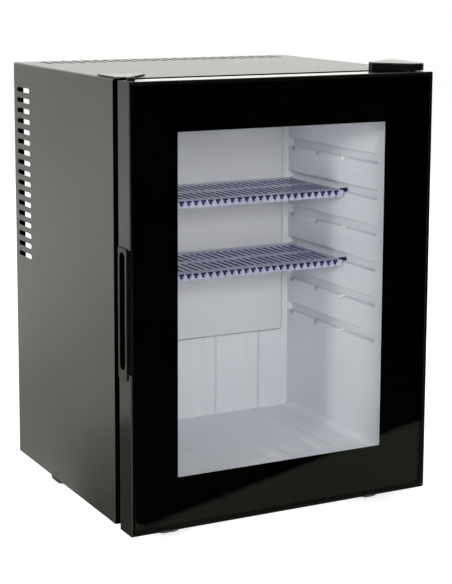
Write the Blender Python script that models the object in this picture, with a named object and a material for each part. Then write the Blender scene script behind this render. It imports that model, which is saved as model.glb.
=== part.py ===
"""Minibar fridge with a glass door and an absorption cooling unit, in metres, +Z up.

The cabinet's own coordinates have x = 0 on its centre, y = 0 on the front edge of its shell
and z = 0 on the floor. One empty shifts them, so that the whole fridge stands centred.
"""

from math import atan2, cos, degrees, radians, sin, sqrt, tan

import bmesh
import bpy
from mathutils import Vector

# Fits and fineness
GAP = 0.0003
SLIDE_CLEARANCE = 0.002
OVERCUT = 0.002
FINE_STEPS = 4
COARSE_STEPS = 3
SMALL_SIDES = 8
ROUND_SIDES = 12
LARGE_SIDES = 18
SMOOTH_ANGLE = 40

# Cabinet shell
CABINET_WIDTH = 0.400
CABINET_DEPTH = 0.318
CABINET_HEIGHT = 0.518
FOOT_HEIGHT = 0.024
SHEET = 0.001
BEND_RADIUS = 0.003
FRONT_FLANGE = 0.012
REAR_FLANGE = 0.0125
PAN_LIP = 0.015
REAR_BAY_DEPTH = 0.060
PARTITION_FOOT = 0.012

# Vent slots
SLOT_LENGTH = 0.044
SLOT_WIDTH = 0.006
SLOT_REAR_MARGIN = 0.0105
SIDE_SLOT_PITCH = 0.0133
SIDE_SLOT_COUNT = 17
SIDE_SLOT_DROP = 0.0337
TOP_SLOT_PITCH = 0.0145
TOP_SLOT_MARGIN = 0.033
PAN_SLOT_PITCH = 0.029
PAN_SLOT_LENGTH = 0.022

# Liner
LINER_WALL = 0.0015
LINER_SIDE_FOAM = 0.037
LINER_REAR_FOAM = 0.021
LINER_FLOOR_RISE = 0.038
LINER_CEILING_DROP = 0.038
LINER_CORNER = 0.008
GROOVE_COUNT = 6
GROOVE_PITCH = 0.0453
GROOVE_RISE = 0.1355
GROOVE_HEIGHT = 0.012
GROOVE_DEPTH = 0.008
GROOVE_START = 0.017
GROOVE_END_RADIUS = 0.0065
GROOVE_LEDGE = 0.0015
RIB_PLACES = (-0.108, -0.042, 0.042, 0.108)
RIB_WIDTH = 0.024
RIB_CREST = 0.012
RIB_TOP_RISE = 0.310
FLOOR_RIB_HEIGHT = 0.0015
FLOOR_RIB_MARGIN = 0.012
FLOOR_RIB_REAR_MARGIN = 0.002
SLIT_REAR_MARGIN = 0.036
SLIT_RISE = 0.100
SLIT_COUNT = 3
SLIT_PITCH = 0.0045
SLIT_LENGTH = 0.008
SLIT_WIDTH = 0.0015
SLIT_LEAN = 0.003

# Cold plate and evaporator
PLATE_SIDE_MARGIN = 0.0125
PLATE_THICKNESS = 0.0025
PLATE_STANDOFF = 0.004
PLATE_RISE = 0.1102
PLATE_CEILING_MARGIN = 0.0238
PLATE_CORNER = 0.004
PLATE_SCREW_INSET = 0.010
PLATE_SCREW_SIDE = 0.0205
PLATE_SCREW_SPREAD = 0.045
SCREW_RADIUS = 0.002
SCREW_HEAD_RADIUS = 0.0036
SCREW_CROWN_RADIUS = 0.0025
SCREW_HEAD_HEIGHT = 0.0018
SCREW_LENGTH = 0.016
BOSS_RADIUS = 0.0055
EVAPORATOR_WIDTH = 0.176
EVAPORATOR_HEIGHT = 0.066
EVAPORATOR_FACE = 0.008
EVAPORATOR_CEILING_MARGIN = 0.056
EVAPORATOR_BEND = 0.013
EVAPORATOR_TUBE_RADIUS = 0.006
EVAPORATOR_LEAD_MARGIN = 0.018
PIPE_CLEARANCE = 0.002
SENSOR_RADIUS = 0.003
SENSOR_ROUNDING = 0.0018
SENSOR_LENGTH = 0.018

# Cooling unit
UNIT_STANDOFF = 0.031
BOILER_SIDE_MARGIN = 0.080
BOILER_RADIUS = 0.025
BOILER_RISE = 0.056
BOILER_HEIGHT = 0.190
RISER_RADIUS = 0.008
RISER_BELOW_BOILER = 0.014
RISER_BEND = 0.020
TUBE_STUB = 0.001
CONDENSER_RADIUS = 0.007
CONDENSER_DROP = 0.070
CONDENSER_FALL = 0.006
CONDENSER_SIDE_MARGIN = 0.060
CONDENSER_BEND = 0.016
FIN_PITCH = 0.0108
FIN_THICKNESS = 0.0008
FIN_HEIGHT = 0.048
FIN_DEPTH = 0.042
FIN_LEFT_MARGIN = 0.028
FIN_RIGHT_MARGIN = 0.0165
EXCHANGER_SPACING = 0.050
EXCHANGER_RADIUS = 0.0125
EXCHANGER_TAPER = 0.012
VESSEL_RADIUS = 0.023
VESSEL_CAP_RADIUS = 0.016
VESSEL_LENGTH = 0.148
VESSEL_BOILER_GAP = 0.007
VESSEL_RISE = 0.060
VESSEL_DOME = 0.008
COIL_RADIUS = 0.008
COIL_SIDE_MARGIN = 0.032
COIL_EXCHANGER_MARGIN = 0.036
COIL_RUNS = 5
COIL_RISE = 0.112
COIL_TOP_MARGIN = 0.035
COIL_SLOPE = 0.014
COIL_DROP_MARGIN = 0.020
LIQUID_RADIUS = 0.005
LIQUID_RISE = 0.022
LIQUID_PORT_DROP = 0.0077
LIQUID_REACH = 0.040
LIQUID_BEND = 0.014
HEATER_RADIUS = 0.005
HEATER_LENGTH = 0.095
HEATER_PROUD = 0.010
HEATER_OFFSET = 0.0165
LEAD_RADIUS = 0.002
LEAD_RISE = 0.014
LEAD_BEND = 0.007
SADDLE_HEIGHT = 0.016
SADDLE_RISES = (0.106, 0.201)
SADDLE_MARGIN = 0.010
SADDLE_DEPTH = 0.014
CHANNEL_WIDTH = 0.024
CHANNEL_WALL = 0.002
CHANNEL_REACH = 0.098
CONTROL_BOX_WIDTH = 0.042
CONTROL_BOX_DEPTH = 0.038
CONTROL_BOX_HEIGHT = 0.085
CONTROL_BOX_CORNER = 0.002
CONTROL_BOX_SIDE_MARGIN = 0.027
CONTROL_BOX_RISE = 0.020
GLAND_RADIUS = 0.008
GLAND_NECK_RADIUS = 0.006
GLAND_MOUTH_RADIUS = 0.0048
GLAND_FLANGE = 0.003
GLAND_NECK = 0.005
GLAND_LENGTH = 0.010
GLAND_RISE = 0.021

# Feet
FOOT_LENGTH = 0.036
FOOT_FRONT_SETBACK = 0.002
FOOT_REAR_SETBACK = 0.057
FOOT_LEFT_MARGIN = 0.0556
FOOT_LEFT_WIDTH = 0.0346
FOOT_RIGHT_MARGIN = 0.031
FOOT_RIGHT_WIDTH = 0.0305
FOOT_REAR_MARGIN = 0.017
FOOT_REAR_WIDTH = 0.035
FOOT_TAPER = 0.0025
FOOT_CORNER = 0.008

# Door
DOOR_THICKNESS = 0.0323
DOOR_GAP = 0.014
DOOR_BELOW_SHELL = 0.0015
DOOR_TOP_DROP = 0.0005
BEAD_WIDTH = 0.0045
BEAD_CHAMFER = 0.0012
BEAD_PROUD = 0.0003
STILE_WIDTH = 0.030
GLASS_THICKNESS = 0.004
BORDER_THICKNESS = 0.0005
BORDER_LEFT = 0.0606
BORDER_RIGHT = 0.0643
BORDER_BOTTOM = 0.0615
BORDER_TOP = 0.058
PANE_CLEARANCE = 0.001
SPACER_THICKNESS = 0.012
SPACER_WIDTH = 0.010
INNER_FRAME_WIDTH = 0.014
INNER_FRAME_CHAMFER = 0.0047
GASKET_INSET = 0.017
GASKET_WIDTH = 0.014
GASKET_FOOT_WIDTH = 0.0119
GASKET_FOOT_HEIGHT = 0.0017
GASKET_NECK_WIDTH = 0.0056
GASKET_SHOULDER_WIDTH = 0.009
GASKET_FOLD_HEIGHT = 0.0045
GASKET_MAGNET_HEIGHT = 0.005
DART_WIDTH = 0.0024
DART_DEPTH = 0.0037

# Door grip
GRIP_RISE = 0.1815
GRIP_LENGTH = 0.151
GRIP_FRONT = 0.0083
GRIP_REAR = 0.0012
GRIP_PROUD = 0.0016
GRIP_DEPTH = 0.018
GRIP_WALL = 0.0016
FINGER_SLOT_WIDTH = 0.0145
FINGER_SLOT_MARGIN = 0.005
FINGER_SLOT_POINT = 0.0018
RELIEF_DEPTH = 0.0026
RELIEF_LENGTH = 0.0075
RELIEF_RISE = 0.0085
RELIEF_TOP = 0.001
RELIEF_STEPS = 6

# Hinges
HINGE_SIDE_MARGIN = 0.013
HINGE_Y = -0.0206
HINGE_PLATE = 0.0025
HINGE_BOTTOM_GAP = 0.0018
HINGE_EAR = 0.010
BOTTOM_BRACKET_WIDTH = 0.026
BOTTOM_BRACKET_MARGIN = 0.0025
BOTTOM_BRACKET_REACH = 0.046
BOTTOM_BRACKET_CORNER = 0.009
JOGGLE_START = -0.004
JOGGLE_END = 0.0005
JOGGLE_SHIFT = 0.001
BOTTOM_SCREW_DEPTHS = (0.014, 0.036)
PIN_RADIUS = 0.003
PIN_TIP_RADIUS = 0.0024
PIN_HEAD_RADIUS = 0.0048
PIN_CROWN_RADIUS = 0.0038
PIN_HEAD_HEIGHT = 0.0015
PIN_LENGTH = 0.016
PIN_CLEARANCE = 0.00035
BUSH_RADIUS = 0.0052
BUSH_DEPTH = 0.018
PLUG_CROWN_RADIUS = 0.0047
PLUG_TOP_RIM = 0.003
PLUG_BOTTOM_RIM = 0.0015
PLUG_RECESS = 0.009
COVER_HEIGHT = 0.0097
COVER_WALL = 0.0014
COVER_FALL = 0.0012
COVER_SIDE_MARGIN = 0.0015
COVER_NOSE = 0.014
COVER_NOSE_START = 0.007
COVER_REAR = 0.038
COVER_REACH = 0.050
COVER_HEEL = 0.0105
COVER_TIP_WIDTH = 0.009
COVER_PEAK = (0.005, 0.004)
COVER_RADII = (0.001, 0.006, 0.010, 0.003, 0.003, 0.001)
BRACKET_CLEARANCE = 0.0006
BRACKET_REACH = 0.024
TOP_SCREW_PLACES = ((0.026, 0.010), (0.010, 0.024))
CAP_THICKNESS = 0.002
CAP_SIDE_MARGIN = 0.002
CAP_FRONT = -0.011
CAP_REAR = 0.050
CAP_CORNERS = ((0.016, 0.0), (0.052, 0.037), (0.050, 0.042), (0.010, 0.061))
CAP_RADII = (0.002, 0.006, 0.006, 0.002, 0.002, 0.004)

# Shelves
SHELF_LENGTH = 0.1385
SHELF_PLATE = 0.002
SHELF_RISE = 0.003
SHELF_REAR_CLEARANCE = 0.001
SHELF_LIP = 0.0083
SHELF_LIP_THICKNESS = 0.0022
SHELF_SLOT_WIDTH = 0.005
SHELF_PITCH = 0.010
SHELF_ROWS = ((0.019, 0.044), (0.079, 0.042))
SHELF_EDGE = 0.008
SHELF_LUG_FRONT = 0.006
SHELF_LUG_REAR = 0.0045
SHELF_LUG_RADIUS = 0.0025
SHELF_LUG_REACH = 0.0065
TEE_BAR_WIDTH = 0.0066
TEE_BAR_HEIGHT = 0.0022
TEE_STEM_WIDTH = 0.0026
TEE_STEM_HEIGHT = 0.0028
SHELF_GROOVES = {"shelf_upper": 4, "shelf_lower": 2}

# Places that follow from the sizes above: the cabinet
HALF_WIDTH = CABINET_WIDTH / 2
SHELL_BOTTOM = FOOT_HEIGHT
SHELL_TOP = FOOT_HEIGHT + CABINET_HEIGHT
PARTITION_FRONT = CABINET_DEPTH - REAR_BAY_DEPTH
PARTITION_REAR = PARTITION_FRONT + SHEET
LINER_HALF = HALF_WIDTH - LINER_SIDE_FOAM
LINER_DEPTH = PARTITION_FRONT - LINER_REAR_FOAM
LINER_FLOOR = SHELL_BOTTOM + LINER_FLOOR_RISE
LINER_CEILING = SHELL_TOP - LINER_CEILING_DROP
PAN_FRONT = LINER_WALL + GAP
PAN_HALF = HALF_WIDTH - SHEET - GAP
PAN_REAR = CABINET_DEPTH - SHEET - GAP
SLOT_MIDDLE = CABINET_DEPTH - SLOT_REAR_MARGIN - SLOT_LENGTH / 2
SLIT_DEPTH = LINER_DEPTH - SLIT_REAR_MARGIN
SLIT_LEVEL = LINER_FLOOR + SLIT_RISE
PLATE_HALF = LINER_HALF - PLATE_SIDE_MARGIN
PLATE_REAR = LINER_DEPTH - PLATE_STANDOFF
PLATE_FRONT = PLATE_REAR - PLATE_THICKNESS
PLATE_BOTTOM = LINER_FLOOR + PLATE_RISE
PLATE_TOP = LINER_CEILING - PLATE_CEILING_MARGIN
PLATE_SCREWS = [(x, PLATE_TOP - PLATE_SCREW_INSET)
                for x in (PLATE_SCREW_SIDE - PLATE_HALF, -PLATE_SCREW_SPREAD,
                          PLATE_SCREW_SPREAD, PLATE_HALF - PLATE_SCREW_SIDE)]
EVAPORATOR_TOP = LINER_CEILING - EVAPORATOR_CEILING_MARGIN
EVAPORATOR_BOTTOM = EVAPORATOR_TOP - EVAPORATOR_HEIGHT
EVAPORATOR_MIDDLE = EVAPORATOR_BOTTOM + EVAPORATOR_HEIGHT / 2
TUBE_PLANE = PLATE_REAR + GAP + EVAPORATOR_FACE + EVAPORATOR_TUBE_RADIUS + GAP

# The cooling unit
UNIT_PLANE = PARTITION_REAR + UNIT_STANDOFF
UNIT_TOP = SHELL_TOP - CONDENSER_DROP
BOILER_X = HALF_WIDTH - BOILER_SIDE_MARGIN
BOILER_BOTTOM = SHELL_BOTTOM + BOILER_RISE
BOILER_TOP = BOILER_BOTTOM + BOILER_HEIGHT
RISER_BOTTOM = BOILER_BOTTOM - RISER_BELOW_BOILER
EXCHANGER_X = BOILER_X - EXCHANGER_SPACING
EVAPORATOR_RIGHT = EXCHANGER_X + EVAPORATOR_LEAD_MARGIN
EVAPORATOR_LEFT = EVAPORATOR_RIGHT - EVAPORATOR_WIDTH
CONDENSER_START = BOILER_X - RISER_BEND
CONDENSER_END = CONDENSER_SIDE_MARGIN - HALF_WIDTH
VESSEL_LEVEL = SHELL_BOTTOM + VESSEL_RISE
VESSEL_RIGHT = BOILER_X - BOILER_RADIUS - VESSEL_BOILER_GAP
VESSEL_LEFT = VESSEL_RIGHT - VESSEL_LENGTH
COIL_LEFT = COIL_SIDE_MARGIN - HALF_WIDTH
COIL_RIGHT = EXCHANGER_X - COIL_EXCHANGER_MARGIN
COIL_BOTTOM = SHELL_BOTTOM + COIL_RISE
CONDENSER_OUTLET = EVAPORATOR_MIDDLE + 2 * EVAPORATOR_BEND + TUBE_STUB
EXCHANGER_TOP = EVAPORATOR_MIDDLE - 2 * EVAPORATOR_BEND - TUBE_STUB
COIL_END = EXCHANGER_TOP - COIL_TOP_MARGIN
COIL_PITCH = (COIL_END - COIL_BOTTOM - COIL_SLOPE / 2) / COIL_RUNS
COIL_BEND = (COIL_PITCH - COIL_SLOPE) / 2
CONTROL_BOX_X = HALF_WIDTH - CONTROL_BOX_SIDE_MARGIN
CONTROL_BOX_BOTTOM = SHELL_BOTTOM + CONTROL_BOX_RISE

# The door and its hinges
DOOR_REAR = -DOOR_GAP
DOOR_FRONT = DOOR_REAR - DOOR_THICKNESS
DOOR_BOTTOM = SHELL_BOTTOM - DOOR_BELOW_SHELL
DOOR_TOP = SHELL_TOP - DOOR_TOP_DROP
SEAT_INSET = BEAD_WIDTH + GAP
GLASS_FRONT = DOOR_FRONT + BEAD_PROUD
GLASS_REAR = GLASS_FRONT + GLASS_THICKNESS
BORDER_FRONT = GLASS_REAR + GAP
BORDER_REAR = BORDER_FRONT + BORDER_THICKNESS
SEAT_FLOOR = BORDER_REAR + GAP
SPACER_INSET = STILE_WIDTH + PANE_CLEARANCE
SPACER_REAR = SEAT_FLOOR + SPACER_THICKNESS
INNER_GLASS_FRONT = SPACER_REAR + GAP
INNER_GLASS_REAR = INNER_GLASS_FRONT + GLASS_THICKNESS
DART_INSET = GASKET_INSET + GASKET_WIDTH / 2
GRIP_BOTTOM = DOOR_BOTTOM + GRIP_RISE
GRIP_TOP = GRIP_BOTTOM + GRIP_LENGTH
HINGE_X = HALF_WIDTH - HINGE_SIDE_MARGIN
TOP_SCREWS = [(HALF_WIDTH - side, depth) for side, depth in TOP_SCREW_PLACES]
BOTTOM_BRACKET_RIGHT = HALF_WIDTH - BOTTOM_BRACKET_MARGIN
BOTTOM_BRACKET_LEFT = BOTTOM_BRACKET_RIGHT - BOTTOM_BRACKET_WIDTH
BOTTOM_BRACKET_MIDDLE = (BOTTOM_BRACKET_LEFT + BOTTOM_BRACKET_RIGHT) / 2
BOTTOM_SCREWS = [(BOTTOM_BRACKET_MIDDLE, depth) for depth in BOTTOM_SCREW_DEPTHS]

# The shelves
SHELF_REAR = PLATE_FRONT - SHELF_REAR_CLEARANCE
SHELF_FRONT = SHELF_REAR - SHELF_LENGTH

AXIS_ORDER = {"x": "yzx", "y": "xzy", "z": "xyz"}


# Outlines
def arc(centre, radius, start, end, steps):
    """Points of an arc between two angles in degrees."""
    angles = [radians(start + (end - start) * i / steps) for i in range(steps + 1)]
    return [(centre[0] + radius * cos(a), centre[1] + radius * sin(a)) for a in angles]


def rectangle(left, right, bottom, top):
    """Corner points of a rectangle, anticlockwise."""
    return [(left, bottom), (right, bottom), (right, top), (left, top)]


def rounded(points, radii, steps=FINE_STEPS):
    """A polygon whose corners are rounded, each by its own radius."""
    outline = []
    count = len(points)
    for i, radius in enumerate(radii):
        corner = Vector(points[i])
        if radius <= 0:
            outline.append(tuple(corner))
            continue
        back = (Vector(points[i - 1]) - corner).normalized()
        ahead = (Vector(points[(i + 1) % count]) - corner).normalized()
        half_angle = back.angle(ahead) / 2
        reach = radius / tan(half_angle)
        centre = corner + (back + ahead).normalized() * (radius / sin(half_angle))
        start = corner + back * reach - centre
        end = corner + ahead * reach - centre
        first = atan2(start.y, start.x)
        turn = start.angle_signed(end)
        for step in range(steps + 1):
            angle = first - turn * step / steps
            outline.append((centre.x + radius * cos(angle), centre.y + radius * sin(angle)))
    return outline


def centred_places(length, pitch):
    """Centres of as many copies as fit in a length, spread evenly about zero."""
    gaps = int(length / pitch + 1e-6)
    return [(i - gaps / 2) * pitch for i in range(gaps + 1)]


# Solids in a mesh being built
def ring_of(mesh, outline, axis, level):
    """A ring of vertices in the plane across an axis."""
    first, second, along = ("xyz".index(letter) for letter in AXIS_ORDER[axis])
    ring = []
    for u, v in outline:
        place = [0.0, 0.0, 0.0]
        place[first] = u
        place[second] = v
        place[along] = level
        ring.append(mesh.verts.new(place))
    return ring


def join_rings(mesh, lower, upper):
    """A band of quads between two rings of equal length."""
    count = len(lower)
    for i in range(count):
        j = (i + 1) % count
        mesh.faces.new((lower[i], lower[j], upper[j], upper[i]))


def prism(mesh, outline, axis, low, high):
    """An outline extruded along an axis and capped."""
    lower = ring_of(mesh, outline, axis, low)
    upper = ring_of(mesh, outline, axis, high)
    join_rings(mesh, lower, upper)
    mesh.faces.new(lower)
    mesh.faces.new(upper)


def block(mesh, x, y, z):
    """A rectangular block between pairs of limits."""
    prism(mesh, rectangle(x[0], x[1], y[0], y[1]), "z", z[0], z[1])


def disc(mesh, centre, radius, axis, low, high, sides):
    """A round bar along an axis."""
    prism(mesh, arc(centre, radius, 0, 360 - 360 / sides, sides - 1), axis, low, high)


def tapered(mesh, lower_outline, upper_outline, axis, low, high):
    """A solid that changes from one outline to another."""
    lower = ring_of(mesh, lower_outline, axis, low)
    upper = ring_of(mesh, upper_outline, axis, high)
    join_rings(mesh, lower, upper)
    mesh.faces.new(lower)
    mesh.faces.new(upper)


def turned(mesh, centre, axis, profile, sides):
    """A profile of (radius, height) points turned about an axis, its ends on the axis."""
    rings = []
    for radius, level in profile:
        rings.append(ring_of(mesh, arc(centre, radius, 0, 360 - 360 / sides, sides - 1), axis, level))
    for lower, upper in zip(rings, rings[1:]):
        join_rings(mesh, lower, upper)
    mesh.faces.new(rings[0])
    mesh.faces.new(rings[-1])


def bored(mesh, centre, axis, radius, bore, low, high, sides):
    """A sleeve with a through bore."""
    outer = [ring_of(mesh, arc(centre, radius, 0, 360 - 360 / sides, sides - 1), axis, level)
             for level in (low, high)]
    inner = [ring_of(mesh, arc(centre, bore, 0, 360 - 360 / sides, sides - 1), axis, level)
             for level in (low, high)]
    join_rings(mesh, outer[0], outer[1])
    join_rings(mesh, inner[0], inner[1])
    join_rings(mesh, outer[0], inner[0])
    join_rings(mesh, outer[1], inner[1])


def mitred_ring(mesh, profile, frame):
    """A profile of (inset, depth) points swept round a rectangle with mitred corners."""
    left, right, bottom, top = frame
    corners = []
    for across, up, side, rise in ((left, bottom, 1, 1), (right, bottom, -1, 1),
                                   (right, top, -1, -1), (left, top, 1, -1)):
        corners.append([mesh.verts.new((across + side * inset, depth, up + rise * inset))
                        for inset, depth in profile])
    for i in range(4):
        join_rings(mesh, corners[i], corners[(i + 1) % 4])


def mitred_bar(mesh, profile, frame, side):
    """One bar of a mitred frame, its ends cut back so that the mitres don't touch."""
    left, right, bottom, top = frame
    ends = {
        "left": ((left, bottom, 1, 1, 0, 1), (left, top, 1, -1, 0, -1)),
        "right": ((right, bottom, -1, 1, 0, 1), (right, top, -1, -1, 0, -1)),
        "bottom": ((left, bottom, 1, 1, 1, 0), (right, bottom, -1, 1, -1, 0)),
        "top": ((left, top, 1, -1, 1, 0), (right, top, -1, -1, -1, 0)),
    }[side]
    rings = []
    for across, up, right_step, up_step, right_gap, up_gap in ends:
        rings.append([mesh.verts.new((across + right_step * inset + right_gap * GAP, depth,
                                      up + up_step * inset + up_gap * GAP))
                      for inset, depth in profile])
    join_rings(mesh, rings[0], rings[1])
    mesh.faces.new(rings[0])
    mesh.faces.new(rings[1])


# Objects
def paint(name, colour, roughness, metallic=0.0, transmission=0.0):
    """A material for one part."""
    material = bpy.data.materials.new(name)
    material.use_nodes = True
    shader = material.node_tree.nodes["Principled BSDF"]
    shader.inputs["Base Color"].default_value = (*colour, 1.0)
    shader.inputs["Roughness"].default_value = roughness
    shader.inputs["Metallic"].default_value = metallic
    shader.inputs["Transmission Weight"].default_value = transmission
    material.diffuse_color = (*colour, 1.0)
    return material


def empty(name, place, parent=None):
    """A reference frame at a place given in the cabinet's coordinates."""
    frame = bpy.data.objects.new(name, None)
    bpy.context.scene.collection.objects.link(frame)
    frame["origin"] = place
    if parent is None:
        frame.location = place
    else:
        frame.parent = parent
        frame.location = Vector(place)
    return frame


def piece(name, mesh, finish, parent, smooth=None):
    """A closed solid as an object of its own, drawn in the cabinet's coordinates."""
    bmesh.ops.recalc_face_normals(mesh, faces=mesh.faces)
    data = bpy.data.meshes.new(name)
    mesh.to_mesh(data)
    mesh.free()
    if smooth is not None:
        data.shade_smooth()
        data.set_sharp_from_angle(angle=radians(smooth))
    solid = bpy.data.objects.new(name, data)
    bpy.context.scene.collection.objects.link(solid)
    if finish is not None:
        data.materials.append(finish)
    attach(solid, parent)
    return solid


def attach(solid, parent):
    """Hang an object on a frame without moving what was drawn in cabinet coordinates."""
    solid.parent = parent
    if parent.parent is not None:
        solid.location = -Vector(parent["origin"])


def boolean(solid, mesh, label, operation="DIFFERENCE"):
    """Cut a piece by a tool, or join the tool to it."""
    tool = piece(f"{solid.name}_{label}", mesh, None, solid.parent)
    tool.display_type = "WIRE"
    tool.hide_render = True
    modifier = solid.modifiers.new(label, "BOOLEAN")
    modifier.operation = operation
    modifier.solver = "EXACT"
    modifier.object = tool


def soften(solid, width, segments=2, angle=40):
    """Round the edges of a piece."""
    modifier = solid.modifiers.new("edges", "BEVEL")
    modifier.width = width
    modifier.segments = segments
    modifier.limit_method = "ANGLE"
    modifier.angle_limit = radians(angle)


def bent_route(corners, radius, steps=3):
    """A route of straight runs joined by arcs of one radius."""
    points = [Vector(corners[0])]
    for before, corner, after in zip(corners, corners[1:], corners[2:]):
        corner = Vector(corner)
        back = (Vector(before) - corner).normalized()
        ahead = (Vector(after) - corner).normalized()
        half_angle = back.angle(ahead) / 2
        reach = radius / tan(half_angle)
        centre = corner + (back + ahead).normalized() * (radius / sin(half_angle))
        start = corner + back * reach - centre
        end = corner + ahead * reach - centre
        for step in range(steps + 1):
            points.append(centre + start.slerp(end, step / steps).normalized() * radius)
    points.append(Vector(corners[-1]))
    return points


def tube_curve(name, points, radius, resolution=2):
    """A curve object with a round section along a route, with filled ends."""
    curve = bpy.data.curves.new(name, "CURVE")
    curve.dimensions = "3D"
    curve.bevel_depth = radius
    curve.bevel_resolution = resolution
    curve.use_fill_caps = True
    spline = curve.splines.new("POLY")
    spline.points.add(len(points) - 1)
    for point, place in zip(spline.points, points):
        point.co = (*place, 1.0)
    solid = bpy.data.objects.new(name, curve)
    bpy.context.scene.collection.objects.link(solid)
    return solid


def tube(name, points, radius, finish, parent):
    """A bent tube as a piece of its own."""
    solid = tube_curve(name, points, radius)
    solid.data.materials.append(finish)
    attach(solid, parent)


def tube_mesh(points, radius):
    """A bent tube as a mesh, for joining to another piece."""
    solid = tube_curve("tube_guide", points, radius)
    data = bpy.data.meshes.new_from_object(solid)
    mesh = bmesh.new()
    mesh.from_mesh(data)
    bmesh.ops.remove_doubles(mesh, verts=mesh.verts, dist=GAP / 100)
    bpy.data.objects.remove(solid, do_unlink=True)
    return mesh

# Cabinet shell
def shell_outline(inset, radius, bottom):
    """Outline of the wrapper across its depth, rounded at its two top bends."""
    half = HALF_WIDTH - inset
    corners = rectangle(-half, half, bottom, SHELL_TOP - inset)
    return rounded(corners, (0, 0, radius, radius))


def slot_outline(centre, length, width):
    """A punched vent slot."""
    return rectangle(centre[0] - length / 2, centre[0] + length / 2,
                     centre[1] - width / 2, centre[1] + width / 2)


def side_slot_levels():
    """Heights of the side vent slots, from the top down."""
    first = SHELL_TOP - SIDE_SLOT_DROP
    return [first - SIDE_SLOT_PITCH * i for i in range(SIDE_SLOT_COUNT)]


def screw_holes(mesh, places, axis, low, high):
    """Clearance holes for screws, to cut from a piece."""
    for place in places:
        disc(mesh, place, SCREW_RADIUS + GAP, axis, low, high, SMALL_SIDES)


def build_wrapper(finish, parent):
    """Left side, top and right side bent from one sheet, with flanges front and rear."""
    mesh = bmesh.new()
    prism(mesh, shell_outline(0, BEND_RADIUS, SHELL_BOTTOM), "y", 0, CABINET_DEPTH)
    wrapper = piece("outer_wrapper", mesh, finish, parent)
    below = SHELL_BOTTOM - OVERCUT
    mesh = bmesh.new()
    prism(mesh, shell_outline(SHEET, BEND_RADIUS - SHEET, below), "y", SHEET, CABINET_DEPTH - SHEET)
    boolean(wrapper, mesh, "inside")
    for label, inset, low, high in (("front_mouth", FRONT_FLANGE, -OVERCUT, SHEET + OVERCUT),
                                    ("rear_mouth", REAR_FLANGE, CABINET_DEPTH - SHEET - OVERCUT,
                                     CABINET_DEPTH + OVERCUT)):
        mesh = bmesh.new()
        prism(mesh, shell_outline(inset, 0, below - OVERCUT), "y", low, high)
        boolean(wrapper, mesh, label)
    mesh = bmesh.new()
    for side in (-1, 1):
        low, high = sorted((side * (HALF_WIDTH - SHEET - OVERCUT), side * (HALF_WIDTH + OVERCUT)))
        for level in side_slot_levels():
            prism(mesh, slot_outline((SLOT_MIDDLE, level), SLOT_LENGTH, SLOT_WIDTH), "x", low, high)
    low = SHELL_TOP - SHEET - OVERCUT
    high = SHELL_TOP + OVERCUT
    for across in centred_places(CABINET_WIDTH - 2 * TOP_SLOT_MARGIN, TOP_SLOT_PITCH):
        prism(mesh, slot_outline((across, SLOT_MIDDLE), SLOT_WIDTH, SLOT_LENGTH), "z", low, high)
    boolean(wrapper, mesh, "vents")
    mesh = bmesh.new()
    screw_holes(mesh, TOP_SCREWS, "z", low, high)
    boolean(wrapper, mesh, "screw_holes")


def build_base_plate(finish, parent):
    """Pan with upturned sides and air slots below the rear bay."""
    mesh = bmesh.new()
    block(mesh, (-PAN_HALF, PAN_HALF), (PAN_FRONT, PAN_REAR), (SHELL_BOTTOM, SHELL_BOTTOM + PAN_LIP))
    pan = piece("base_plate", mesh, finish, parent)
    mesh = bmesh.new()
    block(mesh, (SHEET - PAN_HALF, PAN_HALF - SHEET), (PAN_FRONT + SHEET, PAN_REAR - SHEET),
          (SHELL_BOTTOM + SHEET, SHELL_BOTTOM + PAN_LIP + OVERCUT))
    boolean(pan, mesh, "inside")
    low = SHELL_BOTTOM - OVERCUT
    high = SHELL_BOTTOM + SHEET + OVERCUT
    mesh = bmesh.new()
    for across in centred_places(CABINET_WIDTH - 2 * TOP_SLOT_MARGIN, PAN_SLOT_PITCH):
        prism(mesh, slot_outline((across, SLOT_MIDDLE), SLOT_WIDTH, PAN_SLOT_LENGTH), "z", low, high)
    screw_holes(mesh, BOTTOM_SCREWS, "z", low, high)
    boolean(pan, mesh, "holes")


def build_partition(finish, parent):
    """Sheet wall behind the foam, with a foot on the pan and a window for two pipes."""
    half = PAN_HALF - SHEET - GAP
    bottom = SHELL_BOTTOM + SHEET + GAP
    top = SHELL_TOP - SHEET - GAP
    toe = PARTITION_FRONT - PARTITION_FOOT
    outline = [(toe, bottom), (PARTITION_REAR, bottom), (PARTITION_REAR, top), (PARTITION_FRONT, top),
               (PARTITION_FRONT, bottom + SHEET), (toe, bottom + SHEET)]
    mesh = bmesh.new()
    prism(mesh, outline, "x", -half, half)
    wall = piece("rear_partition", mesh, finish, parent)
    reach = EVAPORATOR_TUBE_RADIUS + PIPE_CLEARANCE
    corners = rectangle(EXCHANGER_X - reach, EXCHANGER_X + reach,
                        EVAPORATOR_MIDDLE - EVAPORATOR_BEND - reach,
                        EVAPORATOR_MIDDLE + EVAPORATOR_BEND + reach)
    mesh = bmesh.new()
    prism(mesh, rounded(corners, (reach - GAP,) * 4), "y", PARTITION_FRONT - OVERCUT,
          PARTITION_REAR + OVERCUT)
    boolean(wall, mesh, "pipe_window")


# Liner and foam
def groove_levels():
    """Heights of the lower ledge of each runner groove."""
    first = LINER_FLOOR + GROOVE_RISE
    return [first + GROOVE_PITCH * i for i in range(GROOVE_COUNT)]


def tub_outline(offset):
    """Front view of the liner's tub, offset outwards from its inner face."""
    half = LINER_HALF + offset
    corners = rectangle(-half, half, LINER_FLOOR - offset, LINER_CEILING + offset)
    return rounded(corners, (LINER_CORNER + offset,) * 4)


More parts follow.
